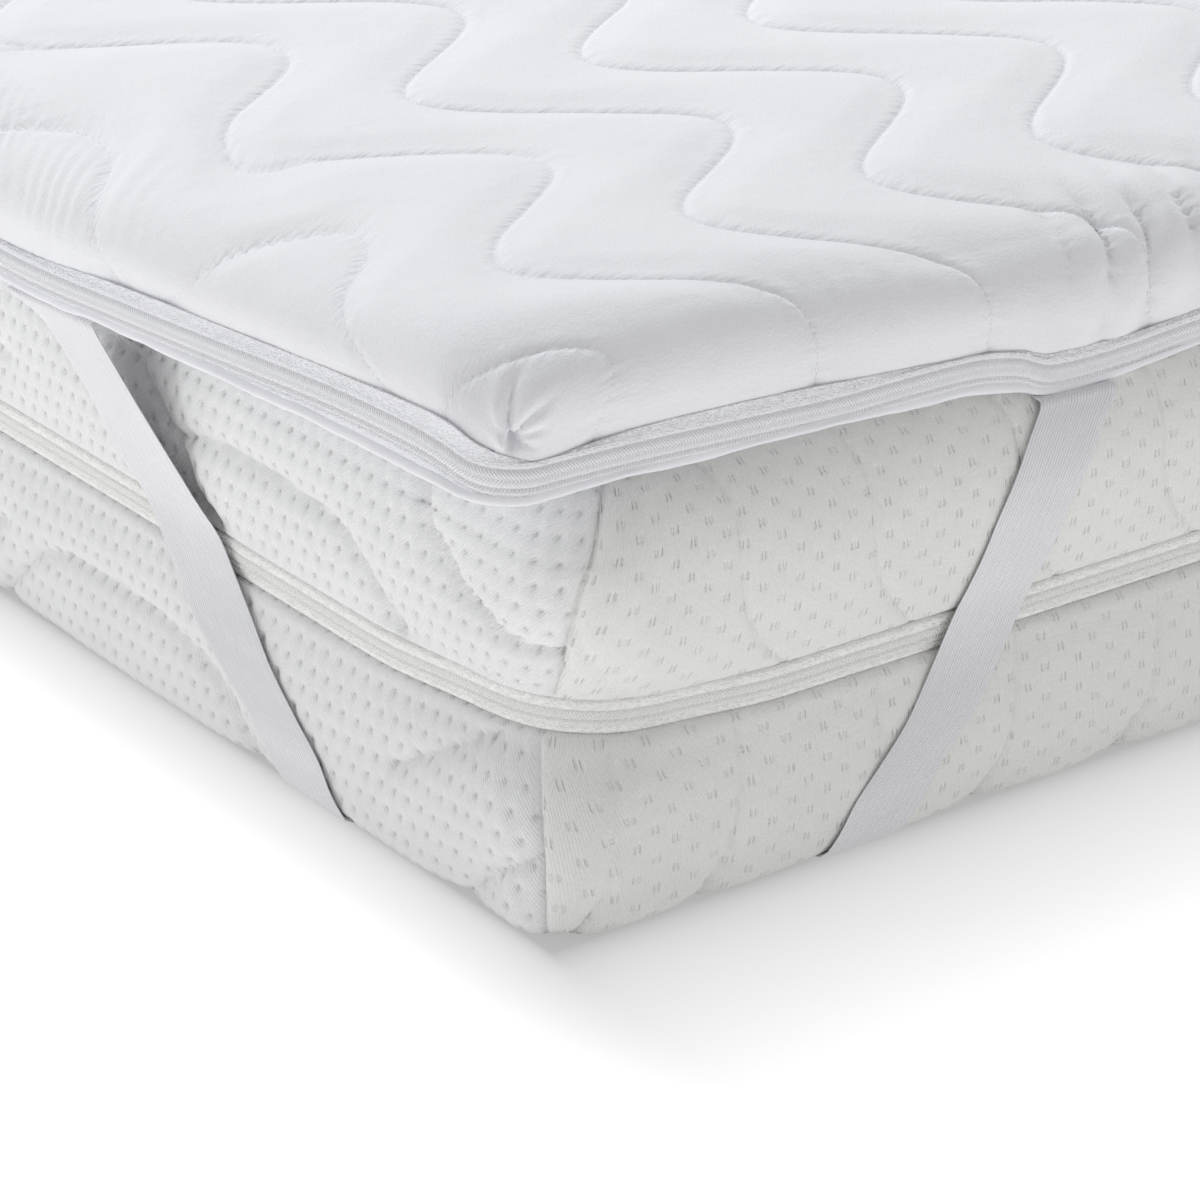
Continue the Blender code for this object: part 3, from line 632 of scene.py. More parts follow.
class Ring:
    """Stations anticlockwise round a rounded rectangle, from the right side's front end.

    foot is each station's place on the rectangle's edge, out its outward direction, side the nearest side;
    corner tells the stations round a corner, and turn_share how far they are from the corner's middle.
    """

    def __init__(self, centre, half, radius, steps, straight=0.0, corner_steps=12):
        self.centre, self.half, self.radius = np.array(centre), np.array(half), radius
        self.straight = max(straight, radius)
        feet, outs, sides, shares, corners = [], [], [], [], []
        order = ((RIGHT, 1), (BACK, -1), (LEFT, -1), (FRONT, 1))
        for number, (side, forward) in enumerate(order):
            axis = 0 if side in (RIGHT, LEFT) else 1
            sign = 1.0 if side in (RIGHT, BACK) else -1.0
            places = np.array(steps[side])[::forward]
            foot, out = np.zeros((len(places), 2)), np.zeros((len(places), 2))
            foot[:, axis] = sign * self.half[axis]
            foot[:, 1 - axis] = places
            out[:, axis] = sign
            feet.append(foot)
            outs.append(out)
            sides.append(np.full(len(places), side))
            shares.append(np.ones(len(places)))
            corners.append(np.zeros(len(places), bool))
            turn = np.linspace(0, QUARTER, corner_steps + 2)[1:-1]
            angle = number * QUARTER + turn
            signs = np.array([(1, 1), (-1, 1), (-1, -1), (1, -1)][number], float)
            feet.append(np.tile(signs * self.half, (len(angle), 1)))
            outs.append(np.stack([np.cos(angle), np.sin(angle)], axis=-1))
            following = order[(number + 1) % 4][0]
            sides.append(np.where(turn < QUARTER / 2, side, following))
            shares.append(np.abs(turn - QUARTER / 2) / (QUARTER / 2))
            corners.append(np.ones(len(angle), bool))
        close = lambda parts: np.concatenate(parts + [parts[0][:1]])
        self.foot, self.out = close(feet), close(outs)
        self.side, self.turn_share, self.corner = close(sides), close(shares), close(corners)
        self.on_end = np.isin(self.side, (FRONT, BACK))
        edge = self.plan(np.zeros(len(self.foot)), np.full(len(self.foot), radius))
        self.run = run_length(edge)
        # 0 where the ring closes, so that uneven rows meet there
        self.unevenness = smooth(np.minimum(self.run, self.run[-1] - self.run) / 0.05)

    def plan(self, inset, radius, slide=0.0):
        """Plan points, inset from the edge, with this radius at the corners and slid towards the ends."""
        place = self.from_seam(radius) + slide
        turn = np.clip(place / radius, -QUARTER / 2, QUARTER / 2) + QUARTER / 2
        out = np.stack([np.cos(turn), np.sin(turn)], axis=-1)
        past = np.maximum(np.abs(place) - radius * QUARTER / 2, 0.0)
        spot = self.half - radius[:, None] + (radius - inset)[:, None] * out
        spot[:, 0] -= np.where(place > 0, past, 0.0)
        spot[:, 1] -= np.where(place < 0, past, 0.0)
        return self.centre + spot * np.where(self.foot < 0, -1.0, 1.0)

    def from_corner(self):
        """How far along its side each station is from the nearer corner; 0 halfway round the corner."""
        axis_x = np.isin(self.side, (RIGHT, LEFT))
        room = self.half - np.abs(self.foot)
        return np.where(self.corner, self.radius * self.turn_share, np.where(axis_x, room[:, 1], room[:, 0]))

    def end_room(self, radius):
        """Distance of each straight station from the end of its side in a row of this corner radius."""
        axis_x = np.abs(self.out[:, 0]) > 0.5
        room = np.where(axis_x, self.half[1], self.half[0])
        end = room - np.abs(np.where(axis_x, self.foot[:, 1], self.foot[:, 0]))
        whole = max(self.straight - self.radius, 1e-9)
        drawn = radius + (end - self.radius) * (self.straight - radius) / whole
        return np.where(end < self.straight, drawn, end)

    def from_seam(self, radius):
        """Distance along a row from the middle of the nearest corner: below 0 on the long sides."""
        half_arc = radius * QUARTER / 2
        away = np.where(self.corner, half_arc * self.turn_share, half_arc + self.end_room(radius) - radius)
        return np.where(self.on_end, away, -away)

    def ripple(self, feature, seed):
        """Noise along the ring, with a feature about every so many metres."""
        return noise(self.run / feature, 0 * self.run, seed)


def side_places(half, margin, stops):
    """Places along a side, from one margin to the other, from stops (distance from the start, step)."""
    inner = [(stop, step) for stop, step in stops if margin < stop < 2 * half - margin]
    return spaced([(margin, stops[0][1])] + inner + [(2 * half - margin, 0)]) - half


def ring_steps(half, margin, fine, coarse, fine_to):
    """Places along the four sides: fine up to fine_to's distances from the near corner, coarse elsewhere."""
    steps = {}
    for side in (FRONT, RIGHT, BACK, LEFT):
        stops = [(0, fine), (fine_to[side], coarse)] if side in fine_to else [(0, coarse)]
        steps[side] = side_places(half[0] if side in (FRONT, BACK) else half[1], margin, stops)
    return steps


def ring_piece(name, ring, section, rows, closed):
    """Wrap a section round a ring.

    section(row) -> inset, corner radius, height, flat place along and across, and, where the stations
    slide along the ring, how far.
    """
    count = len(ring.foot)
    table = [section(row) for row in range(rows)]
    plans = np.stack([ring.plan(line[0], line[1], *line[5:]) for line in table])
    heights, runs = (np.stack([line[index] for line in table]) for index in (2, 3))
    across = np.array([line[4] for line in table])
    across_all = np.append(across, across[-1] + 0.001)

    def place(column, row):
        index = row % rows if closed else row
        spots = np.empty((len(column), 3))
        spots[:, :2] = plans[index, column]
        spots[:, 2] = heights[index, column]
        flat = np.stack([runs[index, column], across_all[row]], axis=-1)
        return spots, flat

    return merge_doubles(grid_piece(name, count - 1, rows if closed else rows - 1, place))


def close_rims(piece):
    """Fill every open rim of a piece with a flat face."""
    activate(piece)
    bpy.ops.object.mode_set(mode="EDIT")
    bpy.ops.mesh.select_mode(type="EDGE")
    bpy.ops.mesh.select_all(action="DESELECT")
    bpy.ops.mesh.select_non_manifold(extend=False, use_wire=False, use_boundary=True,
                                     use_multi_face=False, use_non_contiguous=False, use_verts=False)
    bpy.ops.mesh.edge_face_add()
    bpy.ops.object.mode_set(mode="OBJECT")
    return piece


# ---------------------------------------------------------------- topper: rim, hem and zip

# Height of the hem's lower edge by the distance from a corner; the straps pull it down
RIM_ON_END = curve_through([
    (0.000, 0.1930), (0.050, 0.1926), (0.106, 0.1912), (0.182, 0.1890), (0.240, 0.1868),
    (0.272, 0.1825), (0.292, 0.1765), (0.333, 0.1772), (0.383, 0.1802), (0.470, 0.1815)], 8)
RIM_ON_LONG = curve_through([
    (0.000, 0.1930), (0.050, 0.1932), (0.100, 0.1922), (0.150, 0.1895), (0.200, 0.1868), (0.260, 0.1835),
    (0.310, 0.1795), (0.345, 0.1783), (0.385, 0.1800), (0.450, 0.1815), (0.600, 0.1820), (1.010, 0.1820)], 8)
# Height of the zip tape's upper edge over the hem's lower edge
TAPE_ON_END = curve_through([
    (0.000, 0.0165), (0.030, 0.0168), (0.055, 0.0190), (0.080, 0.0205), (0.130, 0.0205), (0.180, 0.0190),
    (0.240, 0.0175), (0.300, 0.0185), (0.350, 0.0165), (0.470, 0.0175)], 8)
TAPE_ON_LONG = curve_through([
    (0.000, 0.0270), (0.030, 0.0292), (0.060, 0.0280), (0.100, 0.0260), (0.200, 0.0231), (0.270, 0.0206),
    (0.350, 0.0182), (0.500, 0.0190), (1.010, 0.0190)], 8)
# Height of the coil's middle over the hem's lower edge
COIL_ON_END = curve_through([
    (0.000, 0.0100), (0.072, 0.0100), (0.166, 0.0085), (0.206, 0.0095), (0.255, 0.0110), (0.302, 0.0090),
    (0.350, 0.0080), (0.470, 0.0085)], 8)
COIL_ON_LONG = curve_through([
    (0.000, 0.0115), (0.035, 0.0148), (0.070, 0.0150), (0.130, 0.0136), (0.180, 0.0120), (0.260, 0.0098),
    (0.350, 0.0100), (0.500, 0.0100), (1.010, 0.0100)], 8)


def rim_low(from_corner, on_end):
    """Height of the hem's lower edge."""
    end = np.interp(from_corner, *RIM_ON_END.T)
    long_side = np.interp(from_corner, *RIM_ON_LONG.T)
    return np.where(on_end, end, long_side)


def evened(table_on_end, table_on_long, from_corner, on_end):
    """Value by the distance from a corner, with the two sides' tables evened out round the corner."""
    end = np.interp(from_corner, *table_on_end.T)
    long_side = np.interp(from_corner, *table_on_long.T)
    middle = (table_on_end[0, 1] + table_on_long[0, 1]) / 2
    return mix(middle, np.where(on_end, end, long_side), smooth(from_corner / 0.03 + 0.15))


def tape_top(from_corner, on_end):
    """Height of the zip tape's upper edge over the hem's lower edge."""
    return evened(TAPE_ON_END, TAPE_ON_LONG, from_corner, on_end)


def coil_middle(from_corner, on_end):
    """Height of the coil's middle over the hem's lower edge."""
    return evened(COIL_ON_END, COIL_ON_LONG, from_corner, on_end)


def topper_ring():
    """Stations round the topper's rim."""
    steps = ring_steps(TOPPER_HALF, RIM_RADIUS + 0.001, 0.004, 0.012, {FRONT: 0.58, LEFT: 0.54})
    return Ring(TOPPER_CENTRE, TOPPER_HALF, RIM_RADIUS, steps, straight=0.060, corner_steps=15)


HEM_SECTION = [
    # inset from the topper's edge, height over the rim, share of the rim's drop; from the hem's upper
    # edge down its outside, round the lower edge and in under the panel
    (0.0014, 0.0048, 1.00),
    (0.0006, 0.0039, 1.00),
    (0.0000, 0.0030, 1.00),
    (-0.0004, 0.0020, 1.00),
    (-0.0003, 0.0010, 1.00),
    (0.0003, 0.0002, 1.00),
    (0.0014, -0.0002, 1.00),
    (0.0035, -0.0001, 0.97),
    (0.0065, -0.0005, 0.88),
    (0.0110, -0.0009, 0.74),
    (0.0200, -0.0013, 0.36),
    (0.0330, -0.0017, 0.00),
]
CLOTH_THICKNESS = 0.0013


def hem_and_underside(ring):
    """The underside: a thin panel on the mattress whose edge turns up as a soft hem under the zip."""
    low = rim_low(ring.from_corner(), ring.on_end)
    wobble = (0.0008 * ring.ripple(0.022, 31) + 0.0005 * ring.ripple(0.009, 32)) * ring.unevenness
    outer, inner = HEM_SECTION[::-1], []
    for inset, height, share in HEM_SECTION:
        inward = CLOTH_THICKNESS if height > 0.0008 else 0.0
        upward = 0.0 if height > 0.003 else CLOTH_THICKNESS
        if not 0.0 < inset + inward - CLOTH_THICKNESS < 0.0009:
            inner.append((inset + inward, height + upward, share))
    rows = outer + inner
    run = run_length(np.array(rows)[:, :2])
    across = run[len(outer) - 1] - run

    def section(row):
        inset, height, share = rows[row]
        radius = RIM_RADIUS + 0.6 * max(inset, 0.0)
        lowered = (RIM - low) * share
        edge = 1.0 if height > -0.0004 and inset < 0.005 else 0.0
        level = RIM + height - lowered + wobble * edge * (1.0 if height < 0.003 else 0.3)
        puffed = np.full(len(low), inset) - 0.5 * wobble * edge
        return puffed, np.full(len(low), radius), level, ring.run, across[row]

    piece = ring_piece("topper_underside_panel", ring, section, len(rows), closed=False)
    return tidy_normals(close_rims(piece))


ZIP_SECTION = [
    # inset, height from the coil's middle: from the lower tape over a cord and the coil's two rows
    (0.0006, -0.0072),
    (0.0011, -0.0067),
    (0.0005, -0.0062),
    (-0.0001, -0.0053),
    (0.0003, -0.0045),
    (0.0010, -0.0039),
    (0.0002, -0.0033),
    (-0.0005, -0.0023),
    (-0.0006, -0.0009),
    (-0.0002, 0.0000),
    (-0.0006, 0.0009),
    (-0.0005, 0.0023),
    (0.0001, 0.0033),
    (0.0009, 0.0039),
    (0.0004, 0.0045),
    (0.0001, 0.0055),
    (0.0005, 0.0066),
]
LOW_TAPE_STEPS = 3
TAPE_STEPS = 8
TAPE_THICKNESS = 0.0010
TAPE_EDGE = 0.0004             # thickness at the upper edge, sewn to the pad
TAPE_FOOT = (0.0016, 0.0026)   # inset and height of the lower tape's edge, behind the hem
COIL_IN_MAP = 0.0117           # the coil's middle in the zips' UV maps
TAPE_MAP = 0.008               # width of the upper tape in its UV map, and of the lower one
LOW_TAPE_MAP = 0.004


def zip_on_topper(ring):
    """The zip between hem and pad: lower tape, cord and coil, upper tape that follows the pad's side."""
    stations = ring.from_corner(), ring.on_end
    low, top, coil = rim_low(*stations), tape_top(*stations), coil_middle(*stations)
    outer = LOW_TAPE_STEPS + len(ZIP_SECTION) + TAPE_STEPS
    ripple = 0.0003 * ring.ripple(0.018, 41) * ring.unevenness
    start, end = ZIP_SECTION[0], ZIP_SECTION[-1]

    def outside(row):
        """Inset, height over the rim, and height in the UV map."""
        step = row - LOW_TAPE_STEPS
        if step < 0:
            share = row / LOW_TAPE_STEPS
            height, mapped = mix(TAPE_FOOT[1], coil + start[1], share), start[1] - LOW_TAPE_MAP * (1 - share)
            inset = np.full(len(low), mix(TAPE_FOOT[0], start[0], share))
        elif step < len(ZIP_SECTION):
            height, mapped = coil + ZIP_SECTION[step][1], ZIP_SECTION[step][1]
            inset = np.full(len(low), ZIP_SECTION[step][0]) + 0.3 * ripple
        else:
            share = (step - len(ZIP_SECTION) + 1) / TAPE_STEPS
            height, mapped = mix(coil + end[1], top, share), end[1] + TAPE_MAP * share
            pad_side = np.interp(height, EDGE_PROFILE[:, 1], EDGE_PROFILE[:, 0]) - TAPE_EDGE
            inset = mix(end[0], pad_side, share) + 0.5 * ripple * share
        height = np.maximum(height, TAPE_FOOT[1] + 0.0001 * row)
        return inset, height, mapped

    def section(row):
        if row < outer:
            inset, height, mapped = outside(row)
        else:
            inset, height, mapped = outside(2 * outer - 1 - row)
            thick = mix(TAPE_EDGE, TAPE_THICKNESS, smooth((row - outer) / 3))
            inset, mapped = inset + thick, 2 * (end[1] + TAPE_MAP) + TAPE_EDGE - mapped
        return inset, np.full(len(low), RIM_RADIUS), low + height, ring.run, COIL_IN_MAP + mapped

    piece = ring_piece("topper_zip_tapes", ring, section, 2 * outer, closed=True)
    return tidy_normals(piece)


# ---------------------------------------------------------------- mattress

BED_FLOOR = 0.0016             # the mattress's underside lies on its straps
BED_RADIUS = 0.060             # plan radius of the mattress's corners at its waist
# The border's outline, from the waist to the underside and to the top: height, outward offset of a puff's
# crown and of a sewn line from the nominal face, corner radius in plan
LOWER_BORDER = [
    (0.0868, -0.0052, -0.0052, 0.060),
    (0.0796, -0.0050, -0.0050, 0.060),
    (0.0786, -0.0030, -0.0030, 0.060),
    (0.0776, -0.0004, -0.0006, 0.059),
    (0.0752, 0.0016, 0.0012, 0.056),
    (0.0700, 0.0032, 0.0026, 0.051),
    (0.0620, 0.0058, 0.0048, 0.043),
    (0.0480, 0.0086, 0.0074, 0.034),
    (0.0320, 0.0098, 0.0080, 0.027),
    (0.0180, 0.0090, 0.0050, 0.023),
    (0.0090, 0.0078, 0.0010, 0.021),
    (0.0040, 0.0048, -0.0030, 0.021),
    (BED_FLOOR, -0.0002, -0.0082, 0.024),
    (BED_FLOOR, -0.0180, -0.0240, 0.028),
]
UPPER_BORDER = [
    (0.0872, -0.0052, -0.0052, 0.060),
    (0.0936, -0.0050, -0.0050, 0.060),
    (0.0947, -0.0030, -0.0030, 0.060),
    (0.0956, -0.0004, -0.0006, 0.059),
    (0.0978, 0.0012, 0.0008, 0.056),
    (0.1035, 0.0028, 0.0020, 0.051),
    (0.1150, 0.0048, 0.0040, 0.045),
    (0.1320, 0.0064, 0.0054, 0.038),
    (0.1500, 0.0052, 0.0042, 0.035),
    (0.1640, 0.0010, 0.0002, 0.037),
    (0.1760, -0.0070, -0.0078, 0.043),
    (0.1850, -0.0200, -0.0205, 0.052),
    (0.1890, -0.0330, -0.0330, 0.058),
    (0.1895, -0.0420, -0.0420, 0.062),
]
WAIST = 0.0871
BED_COIL = 0.0874              # height of the middle of the coil in the mattress's zip
WAIST_DRAWN = 0.0085           # how far the zip draws the waist in round a corner


def drawn_in(from_corner, height):
    """The waist's pull at a corner: deepest round the corner, gone a little past it and above and below."""
    return WAIST_DRAWN * (1 - smooth((from_corner - 0.045) / 0.075)) * bell(height - WAIST, 0.019)


# Middle of the straps on the ends, from the corner, by height; they press the puffs flat low down
STRAP_MIDDLE_ON_END = ((0.0, 0.030, 0.062, 0.087), (0.155, 0.1715, 0.204, 0.2222))

# How far the corner seams lean towards the ends, by height
SEAM_LEAN = np.array([
    (0.000, -0.0030), (0.018, -0.0030), (0.032, -0.0040), (0.048, -0.0060), (0.062, -0.0090),
    (0.0745, -0.0135), (0.087, -0.0120), (0.096, -0.0080), (0.105, -0.0050), (0.115, -0.0025),
    (0.132, 0.0000), (0.150, 0.0040), (0.164, 0.0085), (0.176, 0.0120), (0.190, 0.0170)]).T

# Quilting seams on the ends: places along the border, and their lean with height
END_SEAMS_UPPER = [0.085, 0.154, 0.236, 0.318, 0.395, 0.472, 0.549, 0.626, 0.703, 0.780, 0.857]
END_LEAN_UPPER = ((0.087, 0.095, 0.110, 0.125, 0.142, 0.172, 0.190),
                  (0.040, 0.030, 0.014, 0.004, 0.0, 0.0, -0.009))
END_SEAMS_LOWER = [0.027, 0.088, 0.162, 0.240, 0.324, 0.396, 0.468, 0.540, 0.612, 0.684, 0.756, 0.828]
END_LEAN_LOWER = ((0.0, 0.005, 0.025, 0.047, 0.069, 0.087), (-0.022, -0.013, -0.004, 0.0, 0.002, 0.004))

# Quilting seams on the long sides: runs of (place along the side, height)
LONG_SEAMS = [
    [(0.292, 0.152), (0.262, 0.130), (0.241, 0.136), (0.215, 0.138), (0.184, 0.137), (0.147, 0.134),
     (0.133, 0.126), (0.109, 0.104), (0.100, 0.093)],
    [(0.103, 0.192), (0.093, 0.167), (0.084, 0.151), (0.072, 0.146), (0.065, 0.138), (0.038, 0.127),
     (0.025, 0.124), (0.000, 0.122)],
    [(0.100, 0.043), (0.096, 0.045), (0.069, 0.061), (0.032, 0.084)],
    [(0.060, 0.000), (0.053, 0.003), (0.031, 0.023), (0.011, 0.038), (0.000, 0.042)],
    [(0.405, 0.000), (0.399, 0.009), (0.368, 0.038), (0.345, 0.044), (0.304, 0.045), (0.270, 0.043),
     (0.239, 0.037), (0.215, 0.025), (0.200, 0.005), (0.198, 0.000)],
    [(0.292, 0.152), (0.330, 0.158), (0.360, 0.172), (0.385, 0.190)],
    [(0.227, 0.093), (0.240, 0.101), (0.252, 0.106), (0.262, 0.130)],
]
LONG_SEAM_REPEAT = 0.400       # hidden stretches of the long sides repeat the same seams
LONG_SEAM_REPEATS = 5

# The knit's dimples on the ends and on the long sides: a cell of the lattice, and its second dimple's place
END_LATTICE = dict(cell=(0.0190, 0.0133), shift=(0.0095, 0.00665))
LONG_LATTICE = dict(cell=(0.0095, 0.0196), shift=(0.00475, 0.0098))


def lattice_distance(u, v, cell, shift, stretch):
    """Distance to the nearest point of a half-staggered lattice, in units of the stretch."""
    nearest = np.full(np.shape(u), 1.0)
    for offset in ((0.0, 0.0), shift):
        du = (u - offset[0]) / cell[0]
        dv = (v - offset[1]) / cell[1]
        du = (du - np.rint(du)) * cell[0] / stretch[0]
        dv = (dv - np.rint(dv)) * cell[1] / stretch[1]
        nearest = np.minimum(nearest, np.hypot(du, dv))
    return nearest


def seam_distance(along, height, seam):
    """Distance of points from a run of straight pieces."""
    nearest = np.full(np.shape(along), 1.0)
    for (a, b), (c, d) in zip(seam, seam[1:]):
        du, dv = c - a, d - b
        share = np.clip(((along - a) * du + (height - b) * dv) / (du * du + dv * dv), 0, 1)
        nearest = np.minimum(nearest, np.hypot(along - a - share * du, height - b - share * dv))
    return nearest


def end_puffs(along, height, upper):
    """On an end: 0 on a sewn line to 1 on the puff's crown between two lines, and distance from a line."""
    seams, lean = (END_SEAMS_UPPER, END_LEAN_UPPER) if upper else (END_SEAMS_LOWER, END_LEAN_LOWER)
    seams = np.array([seams[0] - 0.075] + seams + [seams[-1] + 0.075])
    place = along - np.interp(height, *lean)
    phase = np.interp(place, seams, np.arange(len(seams)))
    side = np.abs(2 * (phase - np.floor(phase)) - 1)
    away = np.min(np.abs(place[:, None] - seams[None, :]), axis=1)
    return (1 - side ** 2.6) ** 0.6, away


def long_puffs(along, height):
    """How far the cloth is drawn in by a long side's sewn lines, from 0 to 1, wide and as a crease."""
    away = np.full(np.shape(along), 1.0)
    for repeat in range(LONG_SEAM_REPEATS):
        for seam in LONG_SEAMS:
            moved = [(place + repeat * LONG_SEAM_REPEAT, level) for place, level in seam]
            away = np.minimum(away, seam_distance(along, height, moved))
    return np.exp(-away / 0.0085), np.exp(-away / 0.0018)


# The mattress gives way beside the left strap: by height, where the puff beside it ends, and the tape's edge
HOLLOW_EDGE = np.array([
    (0.000, 0.130), (0.037, 0.170), (0.062, 0.196), (0.070, 0.211), (0.092, 0.226), (0.101, 0.234),
    (0.113, 0.244), (0.126, 0.249), (0.128, 0.257), (0.131, 0.263), (0.140, 0.276), (0.147, 0.283),
    (0.190, 0.292)]).T
HOLLOW_TAPE = np.array([(0.000, 0.143), (0.061, 0.186), (0.108, 0.232), (0.159, 0.300), (0.190, 0.330)]).T
HOLLOW_DEPTH = 0.0014
HOLLOW_FROM = 0.020            # not below this height


def strap_hollow(along, height):
    """How far the mattress gives way between the left strap and the puffs beside it, from 0 to 1."""
    edge = np.interp(height, *HOLLOW_EDGE)
    tape = np.interp(height, *HOLLOW_TAPE)
    inside = smooth((along - edge) / 0.006) * (1 - smooth((along - tape - 0.045) / 0.040))
    return inside * smooth((height - HOLLOW_FROM) / 0.03)


def border_rows(table, step):
    """The border's outline at even steps: height, crown, notch, radius, and the run from the waist."""
    fine = curve_through(table, 40)
    run = run_length(fine[:, :2])
    count = round(run[-1] / step)
    places = np.linspace(0, run[-1], count + 1)
    columns = [np.interp(places, run, fine[:, index]) for index in range(4)]
    return np.stack(columns, axis=-1), places


# The knit's dimples are in the mesh on the two sides that the picture shows, up to here from their corner;
# past it they are in the material alone
RELIEF_ON_FRONT = 0.570
RELIEF_ON_LEFT = 0.532


BORDER_STEP = 0.0020           # distance between the border's rows
RELIEF_FADE = 0.02             # the mesh's dimples fade out over this distance before they stop
END_MARK = (0.0004, (0.0042, 0.0036))      # the knit's marks on the ends: depth, and half size
KNIT_RISE = 0.0008             # on the long sides the knit rises this much between its dimples
PIT = (0.0009, (0.0019, 0.0026))           # the pit in the middle of a dimple there
HOLLOW = (0.0014, (0.0040, 0.0056))        # and the soft hollow round it
SEAM_CLEAR = (0.003, 0.004)    # the dimples start this far from a corner seam, and are full this much farther


def bed_ring():
    """Stations round the mattress, fine where its dimples are in the mesh."""
    half_x, half_y = BED_HALF
    fine, coarse = 0.0095 / 6, 0.0071
    beside, far_x, far_y = 0.0665, 0.836, 1.938
    front = [(0, fine), (beside, fine), (RELIEF_ON_FRONT, coarse), (far_x, coarse)]
    left = [(0, fine), (beside, fine), (RELIEF_ON_LEFT, coarse), (far_y, coarse)]
    steps = {
        FRONT: side_places(half_x, BED_RADIUS, front),
        LEFT: side_places(half_y, BED_RADIUS, left),
        RIGHT: side_places(half_y, BED_RADIUS, [(0, coarse), (beside, coarse), (far_y, coarse)]),
        BACK: side_places(half_x, BED_RADIUS, [(0, coarse), (beside, coarse), (far_x, coarse)]),
    }
    return Ring((0, 0), BED_HALF, BED_RADIUS, steps, straight=0.085, corner_steps=31)


def knit_relief(place, run, on_end):
    """The knit's dimples: shallow marks on the ends, pits in soft hollows on the long sides."""
    def dimples(depth, size, lattice):
        return depth * np.exp(-(lattice_distance(place, run, stretch=size, **lattice)) ** 2)

    on_long = KNIT_RISE - dimples(*PIT, LONG_LATTICE) - dimples(*HOLLOW, LONG_LATTICE)
    return np.where(on_end, -dimples(*END_MARK, END_LATTICE), on_long)


def mattress_half(name, ring, upper):
    """Half of the mattress in its zipped cover: quilted, dimpled borders and a plain closed face."""
    table = UPPER_BORDER if upper else LOWER_BORDER
    rows, runs = border_rows(table, BORDER_STEP)
    count = len(ring.foot)
    on_left = ring.side == LEFT
    at_left, at_front = ring.foot.T < 0

    def from_near_end(at_near, length, distance):
        """Distance from a side's near end, from the distance to its nearer end."""
        return np.where(at_near, distance, length - distance)

    def section(row):
        height, crown, notch, radius = rows[row]
        run = runs[row]
        place = ring.from_seam(np.full(count, radius))
        near = np.abs(place)
        slide = np.interp(height, *SEAM_LEAN) * (1 - smooth(near / 0.12))
        on_end = place > 0
        start = radius * (1 - QUARTER / 2)
        from_end = start + near
        long_place = from_near_end(at_front, 2 * BED_HALF[1], start - place - slide)
        end_place = from_near_end(at_left, 2 * BED_HALF[0], start + place + slide)

        puffs, away = end_puffs(end_place, height, upper)
        pressed = bell(from_end - np.interp(height, *STRAP_MIDDLE_ON_END), 0.026)
        pressed = pressed * (1 - smooth((height - 0.03) / 0.03))
        puffs, away = mix(puffs, 1.0, pressed), away + 0.01 * pressed
        wide, crease = long_puffs(long_place, height)
        end_out = mix(notch, crown, puffs) - 0.0012 * bell(away, 0.0016)
        long_out = crown - 0.0005 - 0.0042 * wide - 0.0022 * crease
        if height > HOLLOW_FROM:
            long_out = long_out - HOLLOW_DEPTH * strap_hollow(long_place, height) * on_left
        past_zip = smooth((run - 0.010) / 0.008)
        base = np.where(on_end, end_out, mix(crown, long_out, past_zip)) - drawn_in(from_end, height)
        lumps = 0.0008 * noise(long_place / 0.045, run / 0.035, 51)
        lumps = lumps + 0.0003 * noise(long_place / 0.014, run / 0.016, 52)
        shown_front = at_front * smooth((RELIEF_ON_FRONT - end_place) / RELIEF_FADE)
        shown_left = at_left * smooth((RELIEF_ON_LEFT - long_place) / RELIEF_FADE)
        shown = smooth((near - SEAM_CLEAR[0]) / SEAM_CLEAR[1]) * np.where(on_end, shown_front, shown_left)
        seam = 0.0016 * np.exp(-near / 0.0006) + 0.0026 * np.exp(-near / 0.0055)
        out = base + past_zip * (knit_relief(from_end, run, on_end) * shown + lumps - seam)
        level = np.full(count, height)
        if upper and height > 0.16:
            level = level + (out - crown) * 0.4
        return -out, np.full(count, radius), np.maximum(level, BED_FLOOR), from_end, run, slide

    piece = ring_piece(name, ring, section, len(rows), closed=False)
    return tidy_normals(close_rims(piece))


BED_ZIP_OUTLINE = [
    # outward offset and height, from the lower tape's edge over the coil's ridges to the upper tape's edge
    (-0.0052, 0.0790), (-0.0024, 0.0792), (-0.0014, 0.0798), (-0.0011, 0.0808), (-0.0010, 0.0822),
    (-0.0015, 0.0828), (-0.0009, 0.0833), (-0.0005, 0.0841), (-0.0009, 0.0849), (-0.0016, 0.0854),
    (-0.0008, 0.0859), (-0.0003, 0.0867), (-0.0006, 0.0874), (-0.0003, 0.0881), (-0.0008, 0.0889),
    (-0.0015, 0.0894), (-0.0010, 0.0899), (-0.0009, 0.0913), (-0.0011, 0.0926), (-0.0015, 0.0933),
    (-0.0026, 0.0938), (-0.0052, 0.0940),
]


def zip_on_mattress():
    """The cover's zip in the waist: two tapes, and the coil's double ridge."""
    steps = ring_steps(BED_HALF, 0.061, 0.005, 0.020, {FRONT: 0.57, LEFT: 0.53})
    ring = Ring((0, 0), BED_HALF, BED_RADIUS, steps, corner_steps=24)
    radius = np.full(len(ring.foot), BED_RADIUS)
    drawn = drawn_in(BED_RADIUS * (1 - QUARTER / 2) + np.abs(ring.from_seam(radius)), WAIST)
    wobble = 0.0003 * ring.ripple(0.05, 61) * ring.unevenness

    def section(row):
        offset, height = BED_ZIP_OUTLINE[row]
        return drawn - offset, radius, height + wobble, ring.run, height - BED_COIL + COIL_IN_MAP

    return tidy_normals(ring_piece("mattress_zip_tapes", ring, section, len(BED_ZIP_OUTLINE), closed=True))


# ---------------------------------------------------------------- straps

